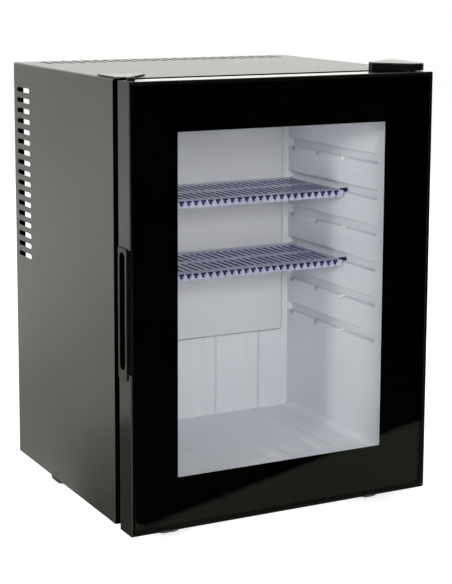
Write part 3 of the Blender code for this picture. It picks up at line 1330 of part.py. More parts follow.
def build_brackets(steel, parent):
    """Saddles that hold the boiler and the gas exchanger, and a channel behind the coil."""
    seat = PARTITION_REAR + GAP
    front = seat + SADDLE_DEPTH
    left = EXCHANGER_X - EXCHANGER_RADIUS - SADDLE_MARGIN
    right = BOILER_X + BOILER_RADIUS
    outline = [(left, seat), (right, seat), (right, front)]
    outline += cradle(BOILER_X, BOILER_RADIUS + GAP, front)
    outline += cradle(EXCHANGER_X, EXCHANGER_RADIUS + GAP, front)
    outline.append((left, front))
    for place, rise in zip(("lower", "upper"), SADDLE_RISES):
        level = SHELL_BOTTOM + rise
        mesh = bmesh.new()
        prism(mesh, outline, "z", level, level + SADDLE_HEIGHT)
        piece(f"boiler_saddle_{place}", mesh, steel, parent)
    web = UNIT_PLANE - COIL_RADIUS - GAP
    left = COIL_LEFT + CHANNEL_REACH - CHANNEL_WIDTH / 2
    right = left + CHANNEL_WIDTH
    wall = CHANNEL_WALL
    outline = [(left, seat), (left + wall, seat), (left + wall, web - wall), (right - wall, web - wall),
               (right - wall, seat), (right, seat), (right, web), (left, web)]
    mesh = bmesh.new()
    prism(mesh, outline, "z", COIL_BOTTOM - COIL_RADIUS, COIL_END - COIL_SLOPE / 2)
    piece("coil_channel", mesh, steel, parent)


def build_control_box(finish, parent):
    """Thermostat and terminal box with the closed gland where the supply enters."""
    seat = PARTITION_REAR + GAP
    rear = seat + CONTROL_BOX_DEPTH
    half = CONTROL_BOX_WIDTH / 2
    mesh = bmesh.new()
    block(mesh, (CONTROL_BOX_X - half, CONTROL_BOX_X + half), (seat, rear),
          (CONTROL_BOX_BOTTOM, CONTROL_BOX_BOTTOM + CONTROL_BOX_HEIGHT))
    box = piece("control_box", mesh, finish, parent)
    soften(box, CONTROL_BOX_CORNER)
    profile = [(GLAND_RADIUS, rear + GAP), (GLAND_RADIUS, rear + GLAND_FLANGE),
               (GLAND_NECK_RADIUS, rear + GLAND_NECK), (GLAND_MOUTH_RADIUS, rear + GLAND_LENGTH)]
    mesh = bmesh.new()
    turned(mesh, (CONTROL_BOX_X, CONTROL_BOX_BOTTOM + GLAND_RISE), "y", profile, ROUND_SIDES)
    piece("power_gland", mesh, finish, parent, SMOOTH_ANGLE)


# Shelves
def tee_outline(across, top):
    """Front view of a T-shaped cut in a shelf's lip, its bar just below the plate."""
    bar = TEE_BAR_WIDTH / 2
    stem = TEE_STEM_WIDTH / 2
    neck = top - TEE_BAR_HEIGHT
    foot = neck - TEE_STEM_HEIGHT
    return [(across - stem, foot), (across + stem, foot), (across + stem, neck), (across + bar, neck),
            (across + bar, top), (across - bar, top), (across - bar, neck), (across - stem, neck)]


def build_shelf(name, groove, finish, parent):
    """Moulded shelf: a slotted plate with a cut lip in front and lugs in the grooves."""
    ledge = groove_levels()[groove]
    top = ledge + GAP + SHELF_RISE
    under = top - SHELF_PLATE
    half = LINER_HALF - SLIDE_CLEARANCE
    lip_rear = SHELF_FRONT + SHELF_LIP_THICKNESS
    outline = [(SHELF_FRONT, top), (SHELF_REAR, top), (SHELF_REAR, under), (lip_rear, under),
               (lip_rear, top - SHELF_LIP), (SHELF_FRONT, top - SHELF_LIP)]
    mesh = bmesh.new()
    prism(mesh, outline, "x", -half, half)
    shelf = piece(name, mesh, finish, parent)
    lug_level = ledge + GAP + SHELF_LUG_RADIUS
    mesh = bmesh.new()
    for side in (-1, 1):
        low, high = sorted((side * (half - SHEET), side * (LINER_HALF + SHELF_LUG_REACH)))
        for depth in (SHELF_FRONT + SHELF_LUG_FRONT, SHELF_REAR - SHELF_LUG_REAR):
            disc(mesh, (depth, lug_level), SHELF_LUG_RADIUS, "x", low, high, ROUND_SIDES)
    boolean(shelf, mesh, "lugs", "UNION")
    mesh = bmesh.new()
    for across in centred_places(2 * (half - SHELF_EDGE), SHELF_PITCH):
        for behind, length in SHELF_ROWS:
            start = SHELF_FRONT + behind
            block(mesh, (across - SHELF_SLOT_WIDTH / 2, across + SHELF_SLOT_WIDTH / 2),
                  (start, start + length), (under - OVERCUT, top + OVERCUT))
        prism(mesh, tee_outline(across, under - GAP), "y", SHELF_FRONT - OVERCUT, lip_rear + OVERCUT)
    boolean(shelf, mesh, "cuts")


def clear_scene():
    """Start from an empty scene."""
    for item in list(bpy.data.objects):
        bpy.data.objects.remove(item, do_unlink=True)


def main():
    """Build every part of the fridge."""
    clear_scene()
    datum = empty("cabinet_datum", (GRIP_PROUD / 2, -(CABINET_DEPTH + DOOR_FRONT) / 2, 0))
    door = empty("door_hinge_axis", (HINGE_X, HINGE_Y, 0), datum)
    frame = (-HALF_WIDTH, HALF_WIDTH, DOOR_BOTTOM, DOOR_TOP)

    black_paint = paint("black_painted_sheet", (0.03, 0.03, 0.03), 0.35)
    black_plastic = paint("black_plastic", (0.02, 0.02, 0.02), 0.45)
    white_plastic = paint("white_liner_plastic", (0.75, 0.76, 0.78), 0.45)
    white_plate = paint("white_painted_plate", (0.80, 0.80, 0.82), 0.4)
    zinc = paint("zinc_plated_sheet", (0.55, 0.56, 0.58), 0.4, metallic=1.0)
    foam = paint("insulating_foam", (0.80, 0.70, 0.45), 0.9)
    dark_steel = paint("dark_painted_steel", (0.05, 0.05, 0.05), 0.5)
    aluminium = paint("aluminium", (0.75, 0.76, 0.77), 0.35, metallic=1.0)
    clear_glass = paint("clear_glass", (0.90, 0.93, 0.93), 0.03, transmission=1.0)
    border_print = paint("black_border_print", (0.005, 0.005, 0.005), 0.2)
    rubber = paint("black_rubber", (0.03, 0.03, 0.03), 0.7)
    tinted = paint("tinted_shelf_plastic", (0.45, 0.48, 0.80), 0.15, transmission=0.7)
    frame_paint = paint("black_door_frame", (0.03, 0.03, 0.03), 0.3)

    build_wrapper(black_paint, datum)
    build_base_plate(zinc, datum)
    build_partition(zinc, datum)
    build_liner(white_plastic, datum)
    build_foam(foam, datum)
    build_cold_plate(white_plate, zinc, datum)
    build_evaporator_block(aluminium, datum)
    build_sensor(black_plastic, datum)
    build_feet(black_plastic, datum)
    build_boiler(dark_steel, black_plastic, zinc, datum)
    build_condenser(dark_steel, datum)
    build_evaporator_tubes(dark_steel, datum)
    build_gas_exchanger(dark_steel, datum)
    build_absorber(dark_steel, datum)
    build_brackets(zinc, datum)
    build_control_box(black_plastic, datum)
    build_top_hinge(dark_steel, datum)
    build_bottom_hinge(dark_steel, datum)
    build_hinge_cover(black_plastic, datum)
    build_blank_cap(black_plastic, datum)

    left_stile = build_door_frame(frame_paint, frame, door)
    build_grip(left_stile, black_plastic, door)
    build_glazing(clear_glass, border_print, aluminium, frame, door)
    build_inner_frame(white_plastic, frame, door)
    build_gasket(rubber, frame, door)
    build_bushes(black_plastic, door)

    for name, groove in SHELF_GROOVES.items():
        slide = empty(f"{name}_slide", (0, SHELF_FRONT, groove_levels()[groove]), datum)
        build_shelf(name, groove, tinted, slide)


main()
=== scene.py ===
import bmesh
import bpy
from math import pi, radians
from mathutils import Matrix, Vector


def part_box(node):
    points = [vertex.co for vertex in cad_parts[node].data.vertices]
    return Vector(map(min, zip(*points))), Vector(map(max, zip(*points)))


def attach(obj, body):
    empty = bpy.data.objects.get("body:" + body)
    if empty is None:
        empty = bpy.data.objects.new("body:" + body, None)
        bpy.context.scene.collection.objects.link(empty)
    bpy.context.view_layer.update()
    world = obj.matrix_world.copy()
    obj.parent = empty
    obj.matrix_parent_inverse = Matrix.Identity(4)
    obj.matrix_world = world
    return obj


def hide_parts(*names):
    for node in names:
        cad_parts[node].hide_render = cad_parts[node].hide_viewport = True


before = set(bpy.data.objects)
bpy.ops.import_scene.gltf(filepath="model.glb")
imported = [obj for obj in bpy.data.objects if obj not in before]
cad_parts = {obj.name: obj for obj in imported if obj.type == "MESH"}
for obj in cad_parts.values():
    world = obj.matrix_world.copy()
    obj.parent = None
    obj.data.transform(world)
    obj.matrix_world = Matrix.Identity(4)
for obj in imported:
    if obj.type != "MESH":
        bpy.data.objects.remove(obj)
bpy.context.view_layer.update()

# The cabinet's own millimetres: x from its centre, y back from its front edge, z up from the floor
wrapperLow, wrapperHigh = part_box("outer_wrapper")
cabinetCentre = (wrapperLow.x + wrapperHigh.x) / 2
cabinetFront = wrapperLow.y


def at(x, y, z):
    return Vector((cabinetCentre + x / 1000, cabinetFront + y / 1000, z / 1000))


def inCabinet(place):
    return ((place.x - cabinetCentre) * 1000, (place.y - cabinetFront) * 1000, place.z * 1000)


straight = 0.9  # cosine past which an edge or a normal counts as lying along an axis
wideFace = {"any": 0.002, "manySided": 0.0003}  # square metres past which a face is shaded flat
weldWithin = {"wire": 0.00005, "node": 0.00001, "made": 0.000005}  # metres
flatWithin = 0.5  # degrees by which a CAD node's triangles may differ and still be one face


def deselect():
    bpy.ops.object.select_all(action="DESELECT")


def pick(piece):
    deselect()
    piece.select_set(True)
    bpy.context.view_layer.objects.active = piece


def applied(piece, kind, **values):
    # a modifier with these values, applied at once
    pick(piece)
    modifier = piece.modifiers.new("step", kind)
    for key, value in values.items():
        setattr(modifier, key, value)
    bpy.ops.object.modifier_apply(modifier=modifier.name)


def startEdit(piece, mode="FACE"):
    pick(piece)
    bpy.ops.object.mode_set(mode="EDIT")
    bpy.ops.mesh.select_mode(type=mode)
    bpy.ops.mesh.select_all(action="DESELECT")


def selectAll():
    bpy.ops.mesh.select_all(action="SELECT")


def endEdit():
    bpy.ops.object.mode_set(mode="OBJECT")


def chooseFaces(piece, wanted):
    # wanted is asked with the face's centre in cabinet millimetres and its normal
    mesh = bmesh.from_edit_mesh(piece.data)
    for face in mesh.faces:
        face.select_set(bool(wanted(inCabinet(face.calc_center_median()), face.normal)))
    bmesh.update_edit_mesh(piece.data)


def chooseEdges(piece, sharp, wanted=None):
    # edges that turn by more than sharp degrees, and whose middle and direction are wanted
    mesh = bmesh.from_edit_mesh(piece.data)
    mesh.select_mode = {"EDGE"}
    for edge in mesh.edges:
        turn = edge.calc_face_angle(0) if len(edge.link_faces) == 2 else 0
        chosen = turn > radians(sharp)
        if chosen and wanted:
            middle = (edge.verts[0].co + edge.verts[1].co) / 2
            along = (edge.verts[1].co - edge.verts[0].co).normalized()
            chosen = wanted(inCabinet(middle), along)
        edge.select_set(bool(chosen))
    bmesh.update_edit_mesh(piece.data)


def roundEdges(piece, width, segments=2, sharp=30, wanted=None):
    startEdit(piece, "EDGE")
    chooseEdges(piece, sharp, wanted)
    bpy.ops.mesh.bevel(offset=width / 1000, segments=segments, clamp_overlap=False)
    endEdit()


def shadeSmooth(piece, angle=38):
    pick(piece)
    bpy.ops.object.shade_smooth_by_angle(angle=radians(angle))
    # wide flat faces stay flat, so that no rounding runs out over them
    startEdit(piece)
    mesh = bmesh.from_edit_mesh(piece.data)
    for face in mesh.faces:
        size = face.calc_area()
        face.select_set(size > wideFace["any"] or size > wideFace["manySided"] and len(face.verts) > 4)
    bmesh.update_edit_mesh(piece.data)
    bpy.ops.mesh.faces_shade_flat()
    endEdit()
    applied(piece, "WEIGHTED_NORMAL", keep_sharp=True)


def settle(piece):
    # the place goes into the mesh
    pick(piece)
    bpy.ops.object.transform_apply(location=True, rotation=True, scale=True)


def cut(piece, tool, operation="DIFFERENCE"):
    applied(piece, "BOOLEAN", operation=operation, solver="EXACT", object=tool)
    bpy.data.objects.remove(tool, do_unlink=True)


def joined(pieces, name):
    deselect()
    for piece in pieces:
        piece.select_set(True)
    bpy.context.view_layer.objects.active = pieces[0]
    bpy.ops.object.join()
    pieces[0].name = name
    return pieces[0]


def block(name, low, high):
    low, high = at(*low), at(*high)
    deselect()
    bpy.ops.mesh.primitive_cube_add(size=1, location=(low + high) / 2)
    piece = bpy.context.object
    piece.name = name
    piece.scale = high - low
    settle(piece)
    return piece


def repeated(piece, count, step):
    # the same shape again and again in a row, all in one mesh
    applied(piece, "ARRAY", count=count, use_relative_offset=False, use_constant_offset=True,
            constant_offset_displace=Vector(step) / 1000)


def wirePath(name, points):
    deselect()
    bpy.ops.mesh.primitive_plane_add(size=0.002, location=points[0])
    path = bpy.context.object
    path.name = name
    settle(path)
    startEdit(path, "VERT")
    selectAll()
    bpy.ops.mesh.merge(type="CENTER")
    for before, after in zip(points, points[1:]):
        bpy.ops.mesh.extrude_region_move(TRANSFORM_OT_translate={"value": after - before})
    endEdit()
    return path


def tidyMesh(piece):
    startEdit(piece)
    selectAll()
    bpy.ops.mesh.remove_doubles(threshold=weldWithin["made"])
    bpy.ops.mesh.normals_make_consistent(inside=False)
    endEdit()


def pipe(name, corners, radius, bend):
    # a wire through the corners, its corners rounded, then given a round section
    piece = wirePath(name, [at(*corner) for corner in corners])
    startEdit(piece, "VERT")
    selectAll()
    bpy.ops.mesh.bevel(offset=bend / 1000, segments=7, affect="VERTICES")
    selectAll()
    bpy.ops.mesh.remove_doubles(threshold=weldWithin["wire"])
    endEdit()
    bpy.ops.object.convert(target="CURVE")
    piece = bpy.context.object
    piece.data.bevel_depth = radius / 1000
    piece.data.bevel_resolution = 4
    piece.data.use_fill_caps = True
    bpy.ops.object.convert(target="MESH")
    piece = bpy.context.object
    tidyMesh(piece)
    return piece


def turned(name, centre, axis, profile, steps=36):
    # a profile of (radius, level) points spun round the axis through the centre
    along = {"x": Vector((1, 0, 0)), "y": Vector((0, 1, 0)), "z": Vector((0, 0, 1))}[axis]
    across = {"x": Vector((0, 0, 1)), "y": Vector((1, 0, 0)), "z": Vector((1, 0, 0))}[axis]
    middle = at(*centre)
    points = [middle + across * (radius / 1000) + along * (level / 1000)
              for radius, level in profile]
    piece = wirePath(name, points)
    startEdit(piece, "VERT")
    selectAll()
    bpy.ops.mesh.spin(steps=steps, angle=2 * pi, center=middle, axis=along)
    endEdit()
    tidyMesh(piece)
    return piece


def fromNode(name, node):
    # a copy of a CAD node whose loose triangles become whole faces
    piece = bpy.data.objects.new(name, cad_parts[node].data.copy())
    bpy.context.scene.collection.objects.link(piece)
    startEdit(piece, "VERT")
    selectAll()
    bpy.ops.mesh.remove_doubles(threshold=weldWithin["node"])
    bpy.ops.mesh.dissolve_limited(angle_limit=radians(flatWithin))
    endEdit()
    return piece


def fit(piece, finish, body, slotName, *nodes):
    piece.data.materials.clear()
    piece.data.materials.append(finish)
    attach(piece, body)
    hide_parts(*nodes)


def paintFaces(piece, finish, wanted):
    # a second finish on the faces that are wanted
    piece.data.materials.append(finish)
    for polygon in piece.data.polygons:
        if wanted(inCabinet(polygon.center), polygon.normal):
            polygon.material_index = len(piece.data.materials) - 1


patternLow, patternHigh = 0.3, 0.7  # nearly all values of a noise pattern lie between these


def startFinish(name):
    finish = bpy.data.materials.new(name)
    finish.use_nodes = True
    return finish, finish.node_tree, finish.node_tree.nodes["Principled BSDF"]


def addNode(tree, kind, **values):
    # a node whose sockets have these values, with _ for each space in a socket's name
    node = tree.nodes.new(kind)
    setSockets(node, **values)
    return node


def setSockets(node, **values):
    for name, value in values.items():
        node.inputs[name.replace("_", " ")].default_value = value


def pattern(tree, kind, scale, stretch=(1, 1, 1), detail=3.0):
    place = addNode(tree, "ShaderNodeTexCoord")
    mapping = addNode(tree, "ShaderNodeMapping", Scale=stretch)
    texture = addNode(tree, kind, Scale=scale)
    if "Detail" in texture.inputs:
        setSockets(texture, Detail=detail)
    tree.links.new(place.outputs["Object"], mapping.inputs["Vector"])
    tree.links.new(mapping.outputs["Vector"], texture.inputs["Vector"])
    return texture


def spread(tree, source, low, high, target):
    # a pattern's middle values spread over a range of a shader's value
    span = addNode(tree, "ShaderNodeMapRange", From_Min=patternLow, From_Max=patternHigh,
                   To_Min=low, To_Max=high)
    tree.links.new(source, span.inputs["Value"])
    tree.links.new(span.outputs["Result"], target)


def tint(tree, source, dark, light, target):
    ramp = addNode(tree, "ShaderNodeValToRGB")
    for stop, position, colour in zip(ramp.color_ramp.elements, (patternLow, patternHigh), (dark, light)):
        stop.position = position
        stop.color = (*colour, 1)
    tree.links.new(source, ramp.inputs["Fac"])
    tree.links.new(ramp.outputs["Color"], target)


def relief(tree, source, height, shader, before=None):
    bump = addNode(tree, "ShaderNodeBump", Distance=height / 1000)
    tree.links.new(source, bump.inputs["Height"])
    if before:
        tree.links.new(before.outputs["Normal"], bump.inputs["Normal"])
    tree.links.new(bump.outputs["Normal"], shader.inputs["Normal"])
    return bump


def grainedFinish(name, look):
    # colour drifts over a hand's width, the surface has a fine grain
    finish, tree, shader = startFinish(name)
    kind = look.get("driftKind", "ShaderNodeTexNoise")
    drift = pattern(tree, kind, look["driftScale"])
    grain = pattern(tree, "ShaderNodeTexNoise", look["grainScale"],
                    look.get("grainStretch", (1, 1, 1)), 2.0)
    shade = drift.outputs["Color" if kind == "ShaderNodeTexVoronoi" else "Fac"]
    tint(tree, shade, look["dark"], look["light"], shader.inputs["Base Color"])
    spread(tree, grain.outputs["Fac"], look["smooth"], look["rough"], shader.inputs["Roughness"])
    first = relief(tree, grain.outputs["Fac"], look["grainHeight"], shader)
    if "waveHeight" in look:
        wave = pattern(tree, "ShaderNodeTexNoise", look["waveScale"], (1, 1, 1), 1.0)
        relief(tree, wave.outputs["Fac"], look["waveHeight"], shader, first)
    setSockets(shader, Metallic=look.get("metallic", 0.0), Specular_IOR_Level=look.get("specular", 0.5),
               Specular_Tint=(*look.get("shineTint", (1, 1, 1)), 1))
    return finish


# dark and light are the ends of the colour's drift, smooth and rough those of the roughness,
# and grainHeight and waveHeight are millimetres
paintedSheet = grainedFinish("satinBlackPaint", {
    "dark": (0.013, 0.012, 0.010), "light": (0.019, 0.018, 0.015), "smooth": 0.30, "rough": 0.38,
    "grainScale": 700, "grainHeight": 0.02, "driftScale": 6,
    "specular": 0.5, "shineTint": (1.0, 0.965, 0.87),
})
doorBlack = grainedFinish("satinDoorPaint", {
    "dark": (0.0012, 0.0012, 0.0011), "light": (0.002, 0.002, 0.0018), "smooth": 0.15, "rough": 0.21,
    "grainScale": 500, "grainStretch": (1, 1, 0.05), "grainHeight": 0.006, "driftScale": 6,
    "specular": 0.28, "shineTint": (1.0, 0.97, 0.90),
})
blackPlastic = grainedFinish("mouldedBlackPlastic", {
    "dark": (0.002, 0.002, 0.002), "light": (0.004, 0.004, 0.0036), "smooth": 0.24, "rough": 0.34,
    "grainScale": 1400, "grainHeight": 0.02, "driftScale": 20,
    "specular": 0.45, "shineTint": (1.0, 0.98, 0.93),
})
gripBlack = grainedFinish("smoothGripPlastic", {
    "dark": (0.004, 0.004, 0.004), "light": (0.007, 0.007, 0.007), "smooth": 0.26, "rough": 0.36,
    "grainScale": 1400, "grainHeight": 0.02, "driftScale": 20,
    "specular": 0.2, "shineTint": (1.0, 0.98, 0.94),
})
linerWhite = grainedFinish("formedWhiteLiner", {
    "dark": (0.80, 0.808, 0.838), "light": (0.84, 0.846, 0.872), "smooth": 0.28, "rough": 0.40,
    "grainScale": 900, "grainHeight": 0.0008, "waveScale": 14, "waveHeight": 0.07, "driftScale": 5,
})
plateWhite = grainedFinish("whitePlatePaint", {
    "dark": (0.71, 0.71, 0.72), "light": (0.75, 0.75, 0.76), "smooth": 0.32, "rough": 0.45,
    "grainScale": 600, "grainHeight": 0.015, "waveScale": 9, "waveHeight": 0.25, "driftScale": 4,
})
# a painted shadow: this dark rim stands in for the shadow line round the cold plate
plateRimPaintedShadow = grainedFinish("plateEdgePaintedShadow", {
    "dark": (0.05, 0.05, 0.055), "light": (0.08, 0.08, 0.085), "smooth": 0.4, "rough": 0.5,
    "grainScale": 600, "grainHeight": 0.01, "driftScale": 30, "specular": 0.2,
})
# painted shade: a grey for the rear dips, standing in for the shadow that lies in them
paintedDipShade = grainedFinish("paintedShadeInDips", {
    "dark": (0.42, 0.43, 0.48), "light": (0.48, 0.49, 0.54), "smooth": 0.5, "rough": 0.6,
    "grainScale": 600, "grainHeight": 0.002, "driftScale": 30, "specular": 0.2,
})
footBlack = grainedFinish("blackFootPlastic", {
    "dark": (0.008, 0.008, 0.007), "light": (0.013, 0.013, 0.012), "smooth": 0.45, "rough": 0.6,
    "grainScale": 900, "grainHeight": 0.02, "driftScale": 40, "specular": 0.1,
})
zincSheet = grainedFinish("spangledZinc", {
    "dark": (0.40, 0.415, 0.43), "light": (0.53, 0.54, 0.55), "smooth": 0.36, "rough": 0.50,
    "grainScale": 300, "grainHeight": 0.008, "driftKind": "ShaderNodeTexVoronoi", "driftScale": 130,
    "metallic": 1.0,
})
aluminium = grainedFinish("brightAluminium", {
    "dark": (0.70, 0.71, 0.72), "light": (0.80, 0.80, 0.81), "smooth": 0.25, "rough": 0.38,
    "grainScale": 400, "grainStretch": (0.05, 1, 1), "grainHeight": 0.01, "driftScale": 15,
    "metallic": 1.0,
})
darkSteel = grainedFinish("blackEnamelledSteel", {
    "dark": (0.010, 0.010, 0.011), "light": (0.022, 0.022, 0.022), "smooth": 0.28, "rough": 0.42,
    "grainScale": 350, "grainHeight": 0.03, "driftScale": 25,
})
rubber = grainedFinish("blackGasketRubber", {
    "dark": (0.0025, 0.0025, 0.0025), "light": (0.005, 0.005, 0.005), "smooth": 0.55, "rough": 0.70,
    "grainScale": 1100, "grainHeight": 0.02, "driftScale": 30, "specular": 0.06,
})
foam = grainedFinish("cellFoam", {
    "dark": (0.66, 0.54, 0.30), "light": (0.82, 0.72, 0.48), "smooth": 0.85, "rough": 0.98,
    "grainScale": 900, "grainHeight": 0.4, "driftScale": 40,
})
# the black of the glass's print, also used as painted shade on the wrapper's flanges and in the grip's
# hollow and cup
printAndPaintedShadeBlack = grainedFinish("blackGlassPrintAndPaintedShade", {
    "dark": (0.0001, 0.0001, 0.0001), "light": (0.0003, 0.0003, 0.0003), "smooth": 0.30, "rough": 0.38,
    "grainScale": 900, "grainHeight": 0.002, "driftScale": 8, "specular": 0.02,
})

paneLook = {
    "tint": (0.988, 0.991, 0.991), "shine": (0.95, 0.97, 1.0), "smudge": 0.004, "smudgeScale": 14,
    "bend": 1.38,  # index of refraction
}


def makeGlass(look):
    # a clear pane: light goes straight through, and the gloss grows towards the edge of sight
    finish, tree, shader = startFinish("clearPane")
    tree.nodes.remove(shader)
    clear = addNode(tree, "ShaderNodeBsdfTransparent", Color=(*look["tint"], 1))
    gloss = addNode(tree, "ShaderNodeBsdfGlossy", Color=(*look["shine"], 1))
    smudges = pattern(tree, "ShaderNodeTexNoise", look["smudgeScale"])
    spread(tree, smudges.outputs["Fac"], 0.0, look["smudge"], gloss.inputs["Roughness"])
    edge = addNode(tree, "ShaderNodeFresnel")
    # the far side of a pane mirrors as much as its near side, as the light isn't bent on its way
    facing = addNode(tree, "ShaderNodeNewGeometry")
    bend = addNode(tree, "ShaderNodeMapRange", To_Min=look["bend"], To_Max=1 / look["bend"])
    tree.links.new(facing.outputs["Backfacing"], bend.inputs["Value"])
    tree.links.new(bend.outputs["Result"], edge.inputs["IOR"])
    both = addNode(tree, "ShaderNodeMixShader")
    tree.links.new(edge.outputs["Fac"], both.inputs["Fac"])
    tree.links.new(clear.outputs["BSDF"], both.inputs[1])
    tree.links.new(gloss.outputs["BSDF"], both.inputs[2])
    tree.links.new(both.outputs["Shader"], tree.nodes["Material Output"].inputs["Surface"])
    return finish


pane = makeGlass(paneLook)


def makeShelfPlastic(name, look):
    finish, tree, shader = startFinish(name)
    drift = pattern(tree, "ShaderNodeTexNoise", 25)
    tint(tree, drift.outputs["Fac"], look["dark"], look["light"], shader.inputs["Base Color"])
    grain = pattern(tree, "ShaderNodeTexNoise", 300)
    spread(tree, grain.outputs["Fac"], look["smooth"], look["rough"], shader.inputs["Roughness"])
    setSockets(shader, Alpha=look["alpha"], Specular_IOR_Level=look["specular"])
    return finish


# the shelves' tinted plastic, and its darker looks in the slots and on the cut edges: the plastic's own
# tint deepened by painted shade
shelfPlastic = makeShelfPlastic("tintedShelfPlastic", {
    "dark": (0.55, 0.54, 0.74), "light": (0.67, 0.66, 0.84), "alpha": 0.80,
    "smooth": 0.12, "rough": 0.22, "specular": 0.6,
})
shelfSlotTintAndPaintedShade = makeShelfPlastic("tintedShelfSlotWallAndPaintedShade", {
    "dark": (0.08, 0.08, 0.20), "light": (0.12, 0.12, 0.27), "alpha": 0.92,
    "smooth": 0.3, "rough": 0.5, "specular": 0.2,
})
shelfCutTintAndPaintedShade = makeShelfPlastic("tintedShelfCutEdgeAndPaintedShade", {
    "dark": (0.010, 0.010, 0.055), "light": (0.020, 0.021, 0.09), "alpha": 0.98,
    "smooth": 0.45, "rough": 0.6, "specular": 0.12,
})
print("finishes are mixed")

wrapperSheet = {
    "halfWidth": 200, "depth": 318, "bottom": 24, "top": 542, "sheet": 1.0, "bend": 3.0,
    "frontFlange": 12.0, "rearFlange": 12.5, "edge": 0.25,
    "slotRear": 307.5, "slotLength": 44, "slotWidth": 6, "slotEnds": 2.9, "sideSlots": 17,
    "sidePitch": 13.3, "sideFirst": 508.3, "topSlots": 24, "topPitch": 14.5, "overcut": 4,
    "darkFront": 1.2, "darkRear": 300,
}


def roundedBar(name, low, high, axis, radius, segments=5):
    # a bar whose four long edges are rounded
    piece = block(name, low, high)
    direction = {"x": 0, "y": 1, "z": 2}[axis]
    roundEdges(piece, radius, segments, 30, lambda middle, along: abs(along[direction]) > straight)
    return piece


def makeWrapper(sheet):
    half, top, bottom, depth = sheet["halfWidth"], sheet["top"], sheet["bottom"], sheet["depth"]
    wrapper = block("wrapperSheet", (-half, 0, bottom), (half, depth, top))
    for face, flange in ((-1, sheet["frontFlange"]), (1, sheet["rearFlange"])):
        startEdit(wrapper)
        chooseFaces(wrapper, lambda centre, normal: normal.y * face > straight)
        bpy.ops.mesh.inset(thickness=flange / 1000)
        bpy.ops.mesh.delete(type="FACE")
        endEdit()
    # the flanges run down to the bottom edge, and the bottom is open
    lowFaces, lowCorners = bottom + 10, bottom + 14
    startEdit(wrapper)
    chooseFaces(wrapper, lambda centre, normal: centre[2] < lowFaces)
    bpy.ops.mesh.delete(type="FACE")
    mesh = bmesh.from_edit_mesh(wrapper.data)
    for vertex in mesh.verts:
        x, y, z = inCabinet(vertex.co)
        if bottom + 1 < z < lowCorners:
            vertex.co = at(x, y, bottom)
    bmesh.update_edit_mesh(wrapper.data)
    endEdit()
    roundEdges(wrapper, sheet["bend"], 6, 30,
               lambda middle, along: abs(along.y) > straight and middle[2] > top - 5)
    applied(wrapper, "SOLIDIFY", thickness=sheet["sheet"] / 1000, offset=-1, use_even_offset=True)
    start, end = sheet["slotRear"] - sheet["slotLength"], sheet["slotRear"]
    slotHalf, over = sheet["slotWidth"] / 2, sheet["overcut"]
    side = roundedBar("sideSlots", (-half - over, start, sheet["sideFirst"] - slotHalf),
                      (half + over, end, sheet["sideFirst"] + slotHalf), "x", sheet["slotEnds"])
    repeated(side, sheet["sideSlots"], (0, 0, -sheet["sidePitch"]))
    cut(wrapper, side)
    left = -sheet["topPitch"] * (sheet["topSlots"] - 1) / 2
    upper = roundedBar("topSlots", (left - slotHalf, start, top - over),
                       (left + slotHalf, end, top + over), "z", sheet["slotEnds"])
    repeated(upper, sheet["topSlots"], (sheet["topPitch"], 0, 0))
    cut(wrapper, upper)
    roundEdges(wrapper, sheet["edge"], 1, 50)
    shadeSmooth(wrapper)
    fit(wrapper, paintedSheet, "cabinet", "painted_sheet", "outer_wrapper")
    # the flange behind the gasket and the rear one's inner face get a painted shade, matt black where they
    # lie in the dark
    paintFaces(wrapper, printAndPaintedShadeBlack, lambda place, normal: normal.y < -straight
               and not sheet["darkFront"] <= place[1] <= sheet["darkRear"])


makeWrapper(wrapperSheet)
print("wrapper is bent and punched")

# inside, grooveDeep, wallHalf and half are distances from the middle, mouth and back are depths
linerForm = {
    "inside": 163, "ledge": 197.5, "pitch": 45.3, "grooves": 6, "grooveDeep": 171, "edge": 1.1,
    "dips": (97, 161, 225), "dipRadius": 3.8, "dipDepth": 5.0, "dipSteps": 28,
    "cupWall": 1.3, "cupEdge": 1.2,
    "mouth": 2, "back": 228, "wallHalf": 172,
    "backRibs": {"front": 226, "high": 372, "half": 150}, "floorRibs": {"high": 66, "half": 145},
    "slits": {"inside": 160, "front": 188, "rear": 214, "low": 152, "high": 172},
}


